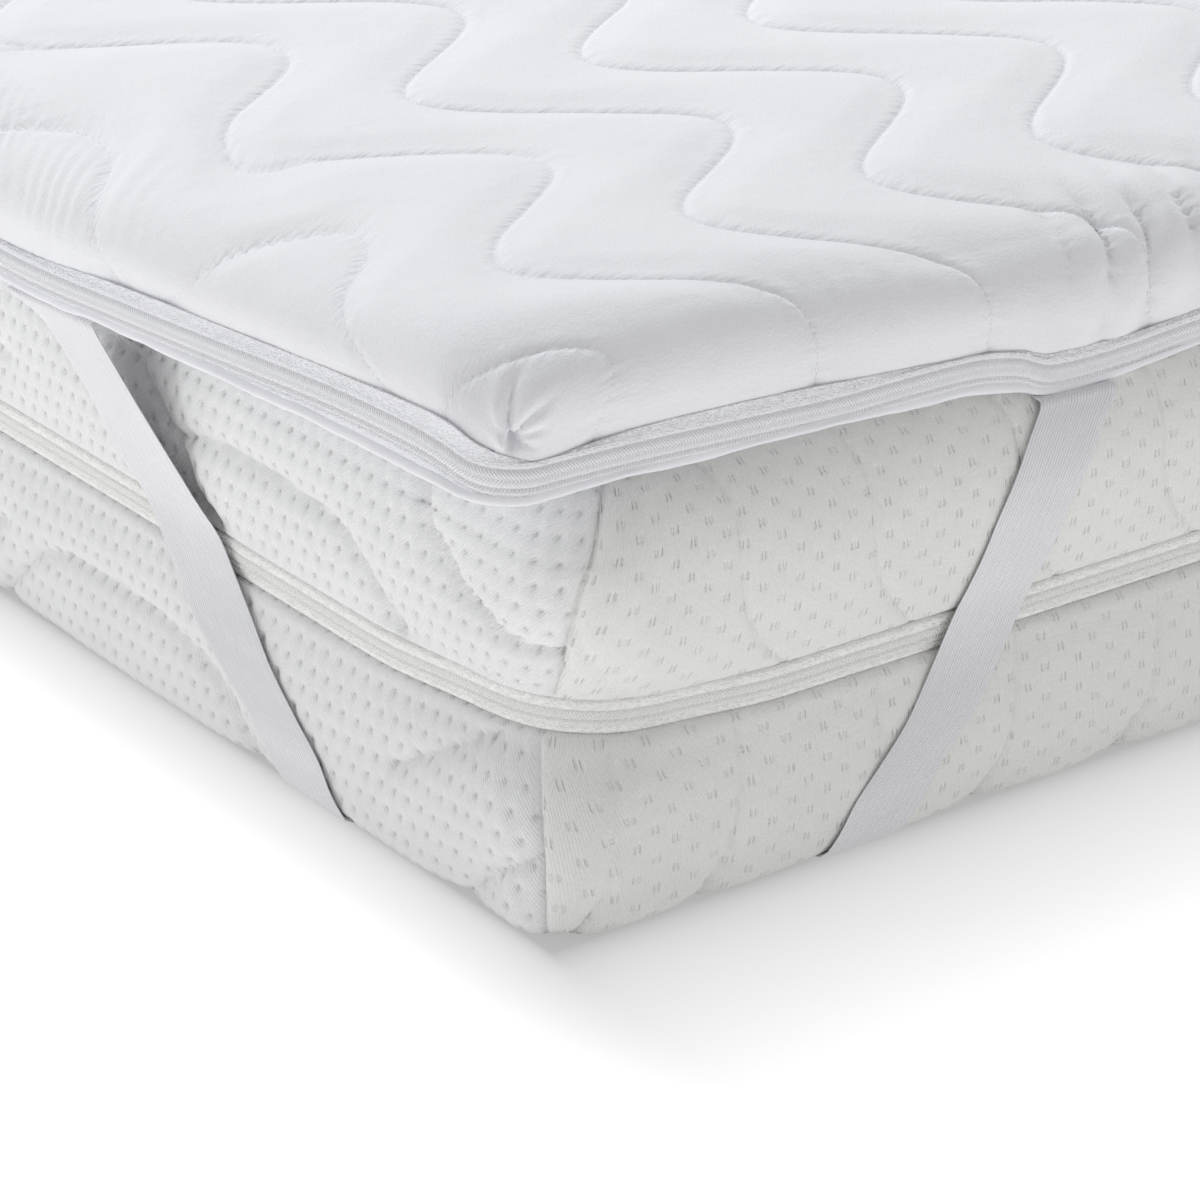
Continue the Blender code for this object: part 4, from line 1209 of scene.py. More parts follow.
STRAP_ON_END = [
    # height, middle of the tape from the corner, half its width
    (0.1650, 0.2630, 0.0222),
    (0.1420, 0.2450, 0.0220),
    (0.1100, 0.2320, 0.0215),
    (0.0870, 0.2222, 0.0212),
    (0.0620, 0.2040, 0.0210),
    (0.0300, 0.1715, 0.0218),
    (0.0000, 0.1550, 0.0218),
]
STRAP_ON_LONG = [
    (0.1650, 0.3050, 0.0310),
    (0.1420, 0.2880, 0.0282),
    (0.1100, 0.2710, 0.0298),
    (0.0870, 0.2520, 0.0288),
    (0.0620, 0.2226, 0.0290),
    (0.0300, 0.1720, 0.0252),
    (0.0000, 0.1480, 0.0218),
]
STRAP_TOP_ON_END = (0.2720, 0.0222)     # middle from the corner and half width where it is sewn to the rim
STRAP_TOP_ON_LONG = (0.3160, 0.0335)
STRAP_TAUT_FROM = 0.095        # above this height the strap leaves the mattress for the rim
STRAP_UNDER = 0.0008           # height of the tape's middle under the mattress
STRAP_THICKNESS = 0.0011
STRAP_WIDTH = 0.040            # of the elastic as it is cut
STRAP_CLEAR = 0.0012           # how far the tape's middle stays off the mattress
STRAP_TWIST = 0.0016           # how far a free stretch turns at its edges
STRAP_RIBS = 25
RIB_DEPTH = 0.00026
STRAP_STATIONS = 190           # stations along a strap
STRAP_WIDENS_FROM = 0.165      # above this height it widens to where it is sewn to the rim
STRAP_FOLLOWS_FROM = 0.170     # and above this one it follows the hem's lower edge
WAIST_SPANNED = 0.0106         # the strap spans the waist, this far up and down from the zip's middle
STRAP_HEIGHTS_ABOVE = (0.165, 0.150, 0.135, 0.120, 0.107, STRAP_TAUT_FROM, 0.082, 0.068, 0.055, 0.042)
STRAP_HEIGHTS_BELOW = (0.028, 0.018, 0.012, 0.0075, 0.0042)
STRAP_UNDERNEATH = [
    # outward offset, height, share of the twist
    (-0.0045, 0.0016, 0.0),
    (-0.0110, STRAP_UNDER, 0.0),
    (-0.0250, STRAP_UNDER, 0.0),
    (-0.0400, STRAP_UNDER, 0.0),
]


def strap_half(axis, signs):
    """A strap's run down one side: points of its two edges, from the rim to underneath."""
    table = np.array(STRAP_ON_END if axis == 1 else STRAP_ON_LONG)[::-1]
    top_middle, top_half = STRAP_TOP_ON_END if axis == 1 else STRAP_TOP_ON_LONG
    other = 1 - axis
    rim = abs(TOPPER_CENTRE[axis] + signs[axis] * TOPPER_HALF[axis]) - BED_HALF[axis]
    crown = np.array([row[:2] for row in LOWER_BORDER[::-1] + UPPER_BORDER
                      if abs(row[0] - WAIST) > WAIST_SPANNED])

    def lying(height):
        """Outward offset of the tape where it lies on the mattress."""
        return np.interp(height, *crown.T) + STRAP_CLEAR

    low_end = lying(STRAP_TAUT_FROM)
    middle_spot = signs[other] * (BED_HALF[other] - top_middle)
    from_edge = TOPPER_HALF[other] - abs(middle_spot - TOPPER_CENTRE[other])
    top = float(rim_low(np.array([from_edge]), axis == 1)[0])
    # outward offset, height and share of the twist down the run, then round the lower edge and underneath
    run = [(rim - 0.022, top - 0.0016, 0.0)]
    for inset, drop in ((0.0040, 0.0018), (0.0030, 0.0045)):
        run.append((max(rim - inset, lying(top - drop)), top - drop, 0.0))
    for height in STRAP_HEIGHTS_ABOVE:
        share = max((height - STRAP_TAUT_FROM) / (top - STRAP_TAUT_FROM), 0.0)
        taut = low_end + (rim - 0.0034 - low_end) * share
        off = max(taut - lying(height), 0.0)
        run.append((max(lying(height), taut), height, min(1.0, off / 0.010)))
    run += [(lying(height), height, 0.0) for height in STRAP_HEIGHTS_BELOW]
    run += STRAP_UNDERNEATH
    edges = []
    for outward, height, lift in run:
        middle, half = (np.interp(height, table[:, 0], table[:, column]) for column in (1, 2))
        if height > STRAP_WIDENS_FROM:
            share = min((height - STRAP_WIDENS_FROM) / (top - 0.0045 - STRAP_WIDENS_FROM), 1.0)
            middle, half = mix(middle, top_middle, share), mix(half, top_half, share)
        twist = STRAP_TWIST * lift * (1.0 if axis == 0 else -0.3)
        pair = []
        for edge, tilt in ((half, -twist), (-half, twist)):
            spot = [0.0, 0.0, height]
            spot[axis] = signs[axis] * (BED_HALF[axis] + outward + tilt)
            spot[other] = signs[other] * (BED_HALF[other] - middle - edge)
            if height > STRAP_FOLLOWS_FROM:
                away = TOPPER_HALF[other] - abs(spot[other] - TOPPER_CENTRE[other])
                spot[2] += float(rim_low(np.array([away]), axis == 1)[0]) - top
            pair.append(spot)
        edges.append(pair)
    return np.array(edges)


def strap(name, signs, steps):
    """One corner's elastic strap, wrapped from rim to rim under the corner, woven in lengthwise ribs."""
    path = np.concatenate([strap_half(1, signs), strap_half(0, signs)[::-1]])
    far = curve_through(path[:, 0], 14)
    near = curve_through(path[:, 1], 14)
    run = run_length((far + near) / 2)
    places = np.linspace(0, run[-1], STRAP_STATIONS)
    far, near = (np.stack([np.interp(places, run, line[:, index]) for index in range(3)], axis=-1)
                 for line in (far, near))
    forward = np.gradient((far + near) / 2, axis=0)
    normal = np.cross(forward, far - near)
    normal /= np.linalg.norm(normal, axis=1)[:, None]
    if np.sum(normal[:20, 1]) * signs[1] < 0:
        normal = -normal
    around = 2 * steps

    def place(column, row):
        index = column % around
        upper = index <= steps
        share = np.where(upper, index / steps, (around - index) / steps)
        spot = far[row] + (near[row] - far[row]) * share[:, None]
        edge = 1 - np.abs(2 * share - 1) ** 24      # full thickness up to the tape's two edges
        rib = RIB_DEPTH * (np.abs(np.sin(math.pi * STRAP_RIBS * share)) - 0.6)
        out = np.where(upper, 1.0, -1.0) * (0.5 * STRAP_THICKNESS * edge + rib * edge)
        flat = np.stack([share * STRAP_WIDTH + np.where(upper, 0.0, 0.1), places[row]], axis=-1)
        return spot + normal[row] * out[:, None], flat

    piece = merge_doubles(grid_piece(name, around, len(places) - 1, place))
    return tidy_normals(close_rims(piece)), (STRAP_WIDTH, float(run[-1]))


# ---------------------------------------------------------------- materials

def link(tree, source, target):
    """Wire an output to an input."""
    tree.links.new(source, target)


def feed(tree, socket, value):
    """Give an input a value or another node's output."""
    if isinstance(value, bpy.types.NodeSocket):
        link(tree, value, socket)
    else:
        socket.default_value = value


def node(tree, kind, settings=None, **inputs):
    """Add a shader node; its inputs by name (underscores for spaces) or as i and their number."""
    made = tree.nodes.new(kind)
    for name, value in (settings or {}).items():
        setattr(made, name, value)
    for name, value in inputs.items():
        numbered = name[0] == "i" and name[1:].isdigit()
        feed(tree, made.inputs[int(name[1:]) if numbered else name.replace("_", " ")], value)
    return made


def maths(tree, operation, first, second=0.0, third=0.0):
    """One sum on numbers."""
    made = node(tree, "ShaderNodeMath", {"operation": operation}, i0=first, i1=second, i2=third)
    return made.outputs[0]


def vector_maths(tree, operation, first, second=(0, 0, 0)):
    """One sum on vectors."""
    made = node(tree, "ShaderNodeVectorMath", {"operation": operation}, i0=first, i1=second)
    return made.outputs["Value" if operation in ("LENGTH", "DOT_PRODUCT") else "Vector"]


def ramp(tree, value, low, high, to_low=0.0, to_high=1.0):
    """Ease between two values while the given one goes from low to high."""
    made = node(tree, "ShaderNodeMapRange", {"interpolation_type": "SMOOTHSTEP"}, i0=value, i1=low, i2=high,
                i3=to_low, i4=to_high)
    return made.outputs[0]


def tint(tree, factor, first, second):
    """Mix of two colours."""
    first, second = (value if isinstance(value, bpy.types.NodeSocket) else (*value, 1.0)
                     for value in (first, second))
    return node(tree, "ShaderNodeMix", {"data_type": "RGBA"}, i0=factor, i6=first, i7=second).outputs[2]


def new_group(name, inputs, outputs):
    """A shader node group with named sockets: inputs as (name, type, value), outputs as (name, type)."""
    tree = bpy.data.node_groups.new(name, "ShaderNodeTree")
    for label, kind, value in inputs:
        made = tree.interface.new_socket(label, in_out="INPUT", socket_type=kind)
        made.default_value = value
    for label, kind in outputs:
        tree.interface.new_socket(label, in_out="OUTPUT", socket_type=kind)
    return tree, tree.nodes.new("NodeGroupInput"), tree.nodes.new("NodeGroupOutput")


def use_group(tree, group, **inputs):
    """Put a shared group in a material; returns its one output."""
    return node(tree, "ShaderNodeGroup", {"node_tree": group}, **inputs).outputs[0]


def grain(tree, place, scale, detail, **more):
    """Noise at these places, from 0 to 1."""
    return node(tree, "ShaderNodeTexNoise", Vector=place, Scale=scale, Detail=detail, **more).outputs[0]


def sine_wave(tree, turns):
    """A wave for each turn, from 0 to 1."""
    swing = maths(tree, "SINE", maths(tree, "MULTIPLY", turns, 2 * math.pi))
    return maths(tree, "MULTIPLY_ADD", swing, 0.5, 0.5)


def split(tree, vector):
    """The two parts of a place in a UV map."""
    return node(tree, "ShaderNodeSeparateXYZ", i0=vector).outputs[:2]


def marks_group():
    """Marks on a half-staggered lattice: 1 in a mark's middle, 0 past its radii; a spread makes it four."""
    tree, given, result = new_group("staggered_marks", [
        ("Vector", "NodeSocketVector", (0, 0, 0)),
        ("Cell", "NodeSocketVector", (0.01, 0.01, 1)),
        ("Shift", "NodeSocketVector", (0.005, 0.005, 0)),
        ("Radii", "NodeSocketVector", (0.002, 0.002, 1)),
        ("Spread", "NodeSocketVector", (0, 0, 0)),
    ], [("Mask", "NodeSocketFloat")])
    found = []
    for shifted in (False, True):
        place = given.outputs["Vector"]
        if shifted:
            place = vector_maths(tree, "SUBTRACT", place, given.outputs["Shift"])
        cells = vector_maths(tree, "DIVIDE", place, given.outputs["Cell"])
        cells = vector_maths(tree, "FRACTION", vector_maths(tree, "ADD", cells, (0.5, 0.5, 0.5)))
        off = vector_maths(tree, "SUBTRACT", cells, (0.5, 0.5, 0.5))
        off = vector_maths(tree, "MULTIPLY", off, given.outputs["Cell"])
        off = vector_maths(tree, "SUBTRACT", vector_maths(tree, "ABSOLUTE", off), given.outputs["Spread"])
        off = vector_maths(tree, "DIVIDE", off, given.outputs["Radii"])
        off = vector_maths(tree, "MULTIPLY", off, (1, 1, 0))
        found.append(ramp(tree, vector_maths(tree, "LENGTH", off), 1.0, 0.15))
    link(tree, maths(tree, "MAXIMUM", *found), result.inputs["Mask"])
    return tree


def ribs_group():
    """Fine ribs along one direction of the cloth, broken up by a little noise."""
    tree, given, result = new_group("fine_ribs", [
        ("Vector", "NodeSocketVector", (0, 0, 0)),
        ("Across", "NodeSocketVector", (1, 0, 0)),
        ("Pitch", "NodeSocketFloat", 0.001),
        ("Unevenness", "NodeSocketFloat", 0.3),
    ], [("Height", "NodeSocketFloat")])
    across = vector_maths(tree, "DOT_PRODUCT", given.outputs["Vector"], given.outputs["Across"])
    turns = maths(tree, "DIVIDE", across, given.outputs["Pitch"])
    rough = grain(tree, given.outputs["Vector"], 420.0, 2.0)
    turns = maths(tree, "ADD", turns, maths(tree, "MULTIPLY", rough, given.outputs["Unevenness"]))
    link(tree, sine_wave(tree, turns), result.inputs["Height"])
    return tree


def tone_group():
    """Faint uneven tone of washed cloth, about 0 to 1."""
    tree, given, result = new_group("cloth_tone", [
        ("Vector", "NodeSocketVector", (0, 0, 0)),
        ("Size", "NodeSocketFloat", 20.0),
    ], [("Tone", "NodeSocketFloat")])
    broad = grain(tree, given.outputs["Vector"], given.outputs["Size"], 3.0)
    link(tree, ramp(tree, broad, 0.3, 0.7), result.inputs["Tone"])
    return tree


class Finish:
    """A material with one Principled shader."""

    def __init__(self, name, colour, roughness, sheen=0.0):
        self.material = bpy.data.materials.new(name)
        self.material.use_nodes = True
        self.material.diffuse_color = (*colour, 1.0)
        self.tree = self.material.node_tree
        self.shader = self.tree.nodes["Principled BSDF"]
        self.shader.inputs["Base Color"].default_value = (*colour, 1.0)
        self.shader.inputs["Roughness"].default_value = roughness
        self.shader.inputs["Sheen Weight"].default_value = sheen
        self.shader.inputs["Specular IOR Level"].default_value = 0.25

    def uv(self, layer="UVMap"):
        return node(self.tree, "ShaderNodeUVMap", {"uv_map": layer}).outputs[0]

    def colour(self, source):
        link(self.tree, source, self.shader.inputs["Base Color"])

    def roughness(self, source):
        link(self.tree, source, self.shader.inputs["Roughness"])

    def bump(self, height, distance, strength=1.0, under=None):
        """Add a bump of this height in metres; returns its normal, and makes it the shader's."""
        made = node(self.tree, "ShaderNodeBump", Height=height, Distance=distance, Strength=strength)
        if under is not None:
            link(self.tree, under, made.inputs["Normal"])
        link(self.tree, made.outputs[0], self.shader.inputs["Normal"])
        return made.outputs[0]


CLOTH_COLOUR = (0.87, 0.875, 0.905)        # cool white
# painted shade colour of the needle holes
HOLE_SHADE_COLOUR = (0.74, 0.74, 0.79)
HOLE_SIZE = (0.0007, 0.00025)  # a needle hole's radius at its edge, and where it is full


def cover_material(tone):
    """Cool white plain weave, with small puckers beside the quilting stitches and the needle holes, which are
    painted darker as shade.
    """
    finish = Finish("topper_plain_weave", CLOTH_COLOUR, 0.88, sheen=0.15)
    tree = finish.tree
    flat = finish.uv()
    line, along = split(tree, finish.uv("sewing"))
    away = maths(tree, "MULTIPLY", maths(tree, "PINGPONG", line, 0.5), LINE_SPACING)
    thread = grain(tree, flat, 700.0, 3.0)
    under = finish.bump(thread, 0.00032)
    run = node(tree, "ShaderNodeCombineXYZ", X=maths(tree, "MULTIPLY", away, 45.0),
               Y=maths(tree, "MULTIPLY", along, 190.0)).outputs[0]
    pucker = grain(tree, run, 1.0, 1.0)
    fade = ramp(tree, away, 0.015, 0.0005)
    under = finish.bump(maths(tree, "MULTIPLY", pucker, fade), 0.0012, 0.8, under)
    finish.bump(grain(tree, flat, 42.0, 4.0, Roughness=0.55), 0.0022, 0.45, under)
    step = maths(tree, "DIVIDE", along, STITCH_PITCH)
    hole_run = maths(tree, "PINGPONG", maths(tree, "ADD", step, 0.5), 0.5)
    hole_run = maths(tree, "MULTIPLY", hole_run, STITCH_PITCH)
    squares = (maths(tree, "POWER", length, 2.0) for length in (hole_run, away))
    hole_shade = ramp(tree, maths(tree, "SQRT", maths(tree, "ADD", *squares)), *HOLE_SIZE)
    clouds = use_group(tree, tone, Vector=flat, Size=14.0)
    base = tint(tree, clouds, (0.855, 0.858, 0.892), (0.875, 0.877, 0.906))
    base = tint(tree, ramp(tree, thread, 0.35, 0.65), base, (0.885, 0.887, 0.912))
    # painted shade: the needle holes are coloured darker
    finish.colour(tint(tree, hole_shade, base, HOLE_SHADE_COLOUR))
    return finish.material


def hem_material(tone):
    """The same plain weave on the underside and the rolled hem, coloured darker than the cover as painted
    shade.
    """
    finish = Finish("topper_hem_weave", CLOTH_COLOUR, 0.88, sheen=0.15)
    tree = finish.tree
    flat = finish.uv()
    under = finish.bump(grain(tree, flat, 900.0, 3.0), 0.00012)
    gather = node(tree, "ShaderNodeMapping", Vector=flat, Scale=(230.0, 45.0, 1.0)).outputs[0]
    finish.bump(grain(tree, gather, 1.0, 2.0), 0.0007, 0.7, under)
    clouds = use_group(tree, tone, Vector=flat, Size=30.0)
    # painted shade: the hem and underside are coloured darker than the cover's cloth
    finish.colour(tint(tree, clouds, (0.82, 0.822, 0.862), (0.865, 0.867, 0.90)))
    return finish.material


def thread_material():
    """Bright quilting thread with a little twist."""
    finish = Finish("quilting_thread", (0.93, 0.93, 0.95), 0.5, sheen=0.2)
    tree = finish.tree
    place = node(tree, "ShaderNodeTexCoord").outputs["Object"]
    twist = grain(tree, place, 1500.0, 1.0)
    finish.bump(twist, 0.0001)
    finish.colour(tint(tree, twist, (0.90, 0.90, 0.93), (0.96, 0.96, 0.97)))
    return finish.material


def zip_material(name, light, hollow_shade, coil_pitch, coil_low, coil_high):
    """Zip: woven tapes, and a coil of slanted stitches, read from the heights in the UV map; their low parts
    are painted darker as shade.
    """
    finish = Finish(name, light, 0.5, sheen=0.1)
    finish.shader.inputs["Specular IOR Level"].default_value = 0.5
    tree = finish.tree
    flat = finish.uv()
    along, height_in_map = split(tree, flat)
    across = maths(tree, "SUBTRACT", height_in_map, COIL_IN_MAP)
    coil = maths(tree, "MULTIPLY", ramp(tree, across, coil_low - 0.0002, coil_low + 0.0002),
                 ramp(tree, across, coil_high + 0.0002, coil_high - 0.0002))
    slant = maths(tree, "MULTIPLY", maths(tree, "ABSOLUTE", across), 0.9 / coil_pitch)
    teeth = sine_wave(tree, maths(tree, "ADD", maths(tree, "DIVIDE", along, coil_pitch), slant))
    turned = node(tree, "ShaderNodeMapping", Vector=flat, Rotation=(0, 0, 0.6), Scale=(640.0, 1050.0, 1.0))
    weave = node(tree, "ShaderNodeTexVoronoi", {"feature": "F1"}, Vector=turned.outputs[0], Scale=1.0,
                 Randomness=0.6)
    mesh = ramp(tree, weave.outputs["Distance"], 0.65, 0.1)
    height = node(tree, "ShaderNodeMix", {"data_type": "FLOAT"}, i0=coil, i2=mesh, i3=teeth).outputs[0]
    finish.bump(height, 0.00035, 1.0)
    # painted shade: the weave's gaps and the coil's valleys are coloured darker
    finish.colour(tint(tree, height, hollow_shade, light))
    finish.roughness(ramp(tree, height, 0.0, 1.0, 0.6, 0.28))
    return finish.material


def strap_material(tone):
    """Woven elastic: lengthwise ribs in the mesh, crossed by fine picks, with painted shade in the grooves
    between the ribs.
    """
    finish = Finish("ribbed_elastic", (0.80, 0.80, 0.835), 0.75, sheen=0.15)
    tree = finish.tree
    flat = finish.uv()
    across, along = split(tree, flat)
    turns = maths(tree, "MULTIPLY", across, math.pi * STRAP_RIBS / STRAP_WIDTH)
    rib = maths(tree, "ABSOLUTE", maths(tree, "SINE", turns))
    picks = maths(tree, "SINE", maths(tree, "MULTIPLY", along, 2 * math.pi / 0.0011))
    finish.bump(maths(tree, "MULTIPLY_ADD", picks, 0.25, rib), 0.0003, 0.7)
    clouds = use_group(tree, tone, Vector=flat, Size=40.0)
    raised = tint(tree, clouds, (0.86, 0.857, 0.885), (0.89, 0.887, 0.91))
    # painted shade: the grooves between the ribs are coloured darker
    finish.colour(tint(tree, ramp(tree, rib, 0.0, 0.7), (0.68, 0.675, 0.71), raised))
    return finish.material


def knit_material(name, colour, marks, ribs, tone, lattice, across, radii, spread, depth, shade, painted_pit_specks):
    """White double knit with a staggered lattice of dimples and fine ribs; the dimples are painted darker as
    shade, with painted dark specks in their cores.
    """
    finish = Finish(name, colour, 0.92, sheen=0.2)
    tree = finish.tree
    flat = finish.uv()
    wander = node(tree, "ShaderNodeTexNoise", Vector=flat, Scale=70.0, Detail=1.0).outputs["Color"]
    wander = vector_maths(tree, "SUBTRACT", wander, (0.5, 0.5, 0.5))
    wander = vector_maths(tree, "MULTIPLY", wander, (0.0016, 0.0016, 0))
    place = vector_maths(tree, "ADD", flat, wander)
    cell, shift = (*lattice["cell"], 1), (*lattice["shift"], 0)
    mark, core = (use_group(tree, marks, Vector=place, Cell=cell, Shift=shift, Spread=(*spread, 0),
                            Radii=(radii[0] * size, radii[1] * size, 1)) for size in (1.0, 0.55))
    rib = use_group(tree, ribs, Vector=flat, Across=across, Pitch=0.00115, Unevenness=0.5)
    under = finish.bump(rib, 0.00020, 0.8)
    fuzz = grain(tree, flat, 1000.0, 2.0)
    under = finish.bump(fuzz, 0.0003, 0.8, under)
    finish.bump(maths(tree, "SUBTRACT", 1.0, mark), depth, 0.9, under)
    clouds = use_group(tree, tone, Vector=flat, Size=12.0)
    base = tint(tree, clouds, [0.985 * part for part in colour], [1.012 * part for part in colour])
    base = tint(tree, ramp(tree, fuzz, 0.3, 0.7, 0.35, 0.0), base, [0.86 * part for part in colour])
    # painted shade: dark specks in the cores of the dimples
    pit_speck_shade = maths(tree, "MULTIPLY", core, ramp(tree, fuzz, 0.35, 0.55))
    # painted shade: the dimples are coloured darker
    base = tint(tree, maths(tree, "MULTIPLY", mark, shade), base, (0.55, 0.55, 0.53))
    finish.colour(tint(tree, maths(tree, "MULTIPLY", pit_speck_shade, painted_pit_specks), base, (0.35, 0.35, 0.35)))
    return finish.material


def floor_material():
    """Pale floor that glows a little, less beside the bed: the dimmer glow there paints a soft shadow, and a
    painted darker contact line runs where the mattress meets it.
    """
    finish = Finish("pale_floor", (0.30, 0.30, 0.30), 0.9)
    tree = finish.tree
    place = node(tree, "ShaderNodeTexCoord").outputs["Object"]
    finish.colour(tint(tree, grain(tree, place, 4.0, 2.0), (0.295, 0.295, 0.295), (0.305, 0.305, 0.305)))
    finish.shader.inputs["Specular IOR Level"].default_value = 0.0
    beside = vector_maths(tree, "SUBTRACT", vector_maths(tree, "ABSOLUTE", place), (*BED_HALF, 0.0))
    beside = vector_maths(tree, "MULTIPLY", vector_maths(tree, "MAXIMUM", beside), SHADE_SHARES)
    away = vector_maths(tree, "LENGTH", beside)
    # painted shadow: the floor glows less beside the bed
    glow_with_painted_shade = ramp(tree, away, 0.0, SHADE_REACH, *FLOOR_GLOW)
    # painted contact shadow: darker still right beside the mattress's foot
    contact_shade = maths(tree, "EXPONENT", maths(tree, "MULTIPLY", away, -1.0 / CONTACT_SHADE_REACH))
    glow_with_painted_shade = maths(tree, "MULTIPLY", glow_with_painted_shade, maths(tree, "MULTIPLY_ADD", contact_shade, -CONTACT_SHADE_SHARE, 1.0))
    shade = node(tree, "ShaderNodeCombineColor", Red=glow_with_painted_shade, Green=glow_with_painted_shade, Blue=glow_with_painted_shade).outputs[0]
    link(tree, shade, finish.shader.inputs["Emission Color"])
    finish.shader.inputs["Emission Strength"].default_value = 1.0
    return finish.material


# ---------------------------------------------------------------- studio

FLOOR_GLOW = (0.61, 0.97)      # glow beside the bed, dimmed there as a painted shadow, and well away from it
SHADE_REACH = 0.20
SHADE_SHARES = (2.6, 1.0, 0.0)  # the painted shade is narrower along the long sides
CONTACT_SHADE_REACH = 0.014          # a painted contact shadow: a darker line where the mattress meets the floor
CONTACT_SHADE_SHARE = 0.45
LIGHT_COLOUR = (0.955, 0.975, 1.0)
WORLD_STRENGTH = 0.475
CAMERA_PLACE = (-1.3747, -2.1440, 0.8265)
CAMERA_YAW, CAMERA_PITCH, CAMERA_ROLL = (math.radians(angle) for angle in (50.528, 24.592, 2.2765))
CAMERA_LENS = 128.18


def add_camera():
    """The camera, where the photo's perspective puts it."""
    made = bpy.data.objects.new("camera", bpy.data.cameras.new("camera"))
    bpy.context.scene.collection.objects.link(made)
    made.data.lens = CAMERA_LENS
    made.data.sensor_width = 36.0
    made.data.sensor_fit = "HORIZONTAL"
    level = math.cos(CAMERA_PITCH)
    forward = Vector((math.cos(CAMERA_YAW) * level, math.sin(CAMERA_YAW) * level, -math.sin(CAMERA_PITCH)))
    right = forward.cross(Vector((0, 0, 1))).normalized()
    up = right.cross(forward)
    turned_right = math.cos(CAMERA_ROLL) * right + math.sin(CAMERA_ROLL) * up
    turned_up = math.cos(CAMERA_ROLL) * up - math.sin(CAMERA_ROLL) * right
    frame_axes = Matrix((turned_right, turned_up, -forward)).transposed().to_4x4()
    made.matrix_world = Matrix.Translation(CAMERA_PLACE) @ frame_axes
    bpy.context.scene.camera = made


def put_light(name, light, place, aim, power):
    """Place a light and turn it towards its aim."""
    light.energy = power
    light.color = LIGHT_COLOUR
    made = bpy.data.objects.new(name, light)
    bpy.context.scene.collection.objects.link(made)
    made.location = place
    made.rotation_euler = (Vector(aim) - Vector(place)).to_track_quat("-Z", "Y").to_euler()


def add_softbox(name, place, aim, size, power):
    """A large rectangular soft light."""
    light = bpy.data.lights.new(name, "AREA")
    light.shape = "RECTANGLE"
    light.size, light.size_y = size
    put_light(name, light, place, aim, power)


def add_beam(name, place, aim, radius, angle, softness, power):
    """A round soft light with a grid in front, which narrows it to a beam."""
    light = bpy.data.lights.new(name, "SPOT")
    light.shadow_soft_size = radius
    light.spot_size = angle
    light.spot_blend = softness
    put_light(name, light, place, aim, power)


def add_studio():
    """Floor, white surroundings and the two lights."""
    deselect()
    bpy.ops.mesh.primitive_grid_add(x_subdivisions=4, y_subdivisions=4, size=40.0, location=(0, 0, 0))
    floor = bpy.context.object
    floor.name = "studio_floor"
    floor.data.materials.append(floor_material())
    world = bpy.data.worlds.new("studio")
    bpy.context.scene.world = world
    world.use_nodes = True
    background = world.node_tree.nodes["Background"]
    background.inputs["Color"].default_value = (1.0, 1.0, 1.0, 1.0)
    background.inputs["Strength"].default_value = WORLD_STRENGTH
    add_softbox("softbox_behind", (0.6, 1.9, 3.4), (-0.2, -0.8, 0.2), (2.2, 2.2), 110.0)
    add_beam("beam_left", (-3.6, 1.2, 1.1), (-0.45, -0.3, 0.1), 0.6, math.radians(22.1), 0.6, 126.0)
    bpy.context.scene.view_settings.view_transform = "Standard"


# ---------------------------------------------------------------- assembly

def add_sewing_map(cover):
    """Second UV map: sewn line number, and the run along the line; for the puckers and needle holes."""
    mesh = cover.data
    flat = np.empty(len(mesh.loops) * 2, np.float32)
    mesh.uv_layers["UVMap"].data.foreach_get("uv", flat)
    flat = flat.reshape(-1, 2).astype(float)
    along = np.interp(unpulled(*flat.T)[1], WAVE_PLACES, WAVE_RUN)
    sewing = np.stack([line_phase(*flat.T), along], axis=-1)
    layer = mesh.uv_layers.new(name="sewing")
    layer.data.foreach_set("uv", sewing.astype(np.float32).ravel())


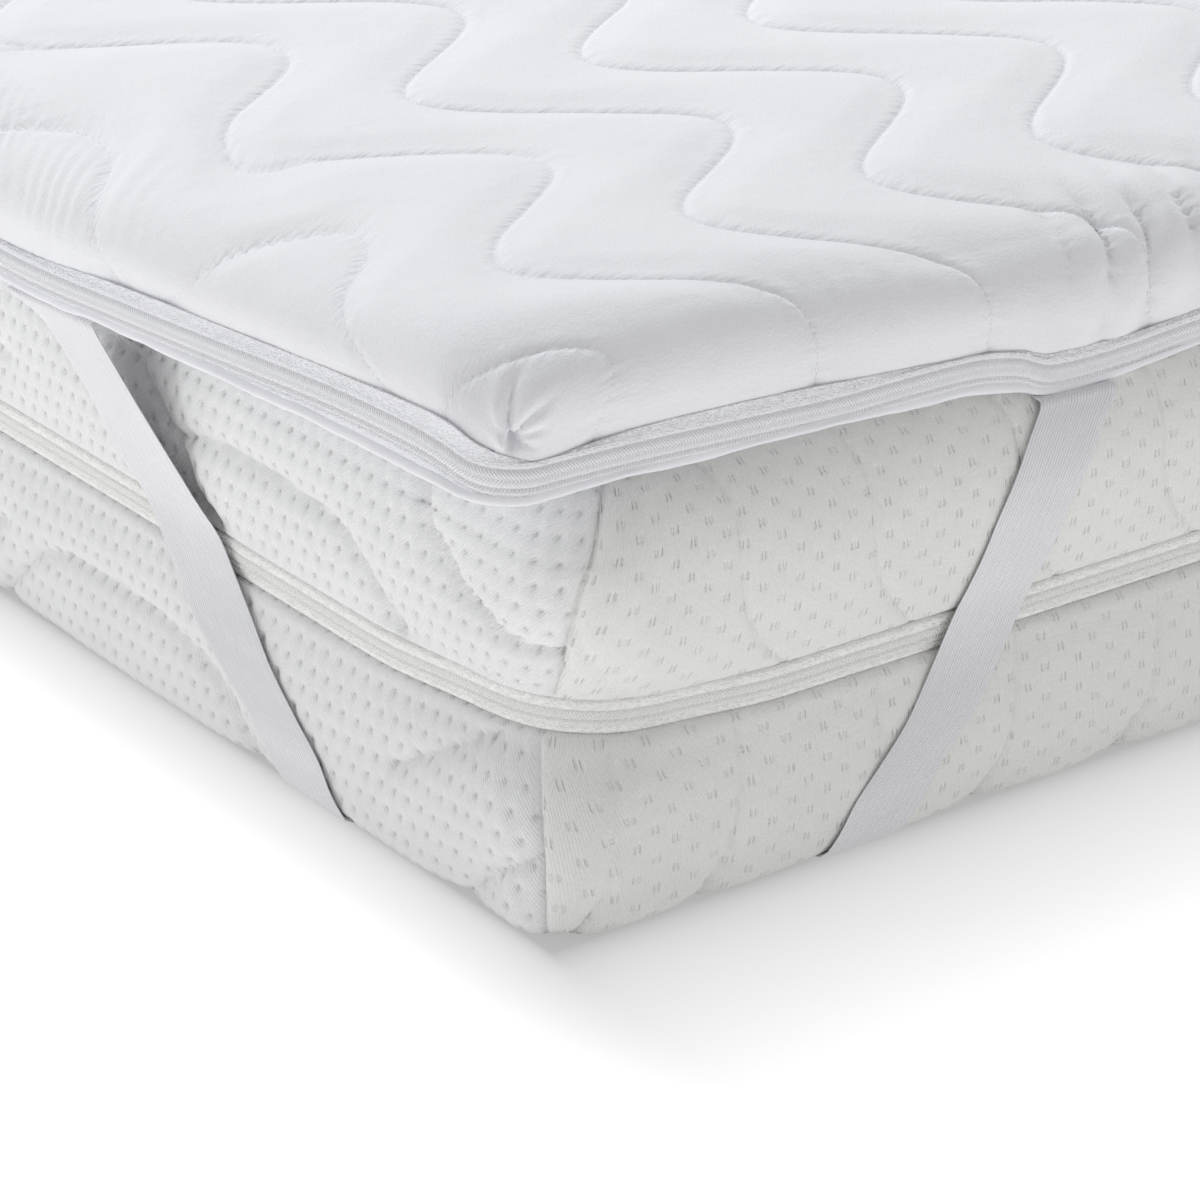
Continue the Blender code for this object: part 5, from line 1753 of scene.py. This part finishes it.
def split_knit(piece, ends, sides):
    """Give the faces on the ends one knit and the long sides' the other, parted at the corner seams."""
    mesh = piece.data
    mesh.materials.clear()
    mesh.materials.append(ends)
    mesh.materials.append(sides)
    centres = np.empty(len(mesh.polygons) * 3, np.float32)
    mesh.polygons.foreach_get("center", centres)
    centres = centres.reshape(-1, 3)
    from_x = BED_HALF[0] - np.abs(centres[:, 0])
    from_y = BED_HALF[1] - np.abs(centres[:, 1])
    lean = np.interp(centres[:, 2], *SEAM_LEAN)
    mesh.polygons.foreach_set("material_index", (from_x - from_y < lean).astype(np.int32))


def main():
    """Build every piece, dress it, and hide the nodes that it stands for."""
    add_camera()
    add_studio()
    marks, ribs, tone = marks_group(), ribs_group(), tone_group()

    cover = quilted_cover()
    add_sewing_map(cover)
    wear(cover, cover_material(tone), "topper_cloth", "topper_pad")
    wear(stitches(), thread_material(), "topper_cloth")

    ring = topper_ring()
    underside = wear(hem_and_underside(ring), hem_material(tone), "topper_cloth", "topper_underside")
    white_zip = zip_material("white_zip", light=(0.97, 0.972, 0.995), hollow_shade=(0.82, 0.822, 0.865),
                             coil_pitch=0.0015, coil_low=-0.0064, coil_high=0.0037)
    topper_zip = wear(zip_on_topper(ring), white_zip, "zip_white", "topper_zip")

    end_knit = knit_material("knit_on_ends", (0.885, 0.880, 0.857), marks, ribs, tone, END_LATTICE,
                             across=(1, 0, 0), radii=(0.0010, 0.0017), spread=(0.0013, 0.0007),
                             depth=0.0005, shade=0.02, painted_pit_specks=0.12)
    side_knit = knit_material("knit_on_long_sides", (0.885, 0.886, 0.884), marks, ribs, tone, LONG_LATTICE,
                              across=(0.8, 0.6, 0), radii=(0.0025, 0.0031), spread=(0, 0),
                              depth=0.0005, shade=0.13, painted_pit_specks=0.55)
    bed = bed_ring()
    for name, upper in (("mattress_lower_half", False), ("mattress_upper_half", True)):
        half = wear(mattress_half(name, bed, upper), end_knit, "mattress_knit", "mattress")
        split_knit(half, end_knit, side_knit)
    cream_zip = zip_material("cream_zip", light=(0.97, 0.965, 0.945), hollow_shade=(0.93, 0.925, 0.905),
                             coil_pitch=0.0016, coil_low=-0.0044, coil_high=0.0019)
    wear(zip_on_mattress(), cream_zip, "zip_cream", "mattress_zip")

    elastic = strap_material(tone)
    for name, signs, steps in (("front_left", (-1, -1), 65), ("back_left", (-1, 1), 50),
                               ("front_right", (1, -1), 50), ("back_right", (1, 1), 50)):
        band, flat = strap(f"elastic_{name}", signs, steps)
        wear(band, elastic, "elastic", f"strap_{name}")


main()
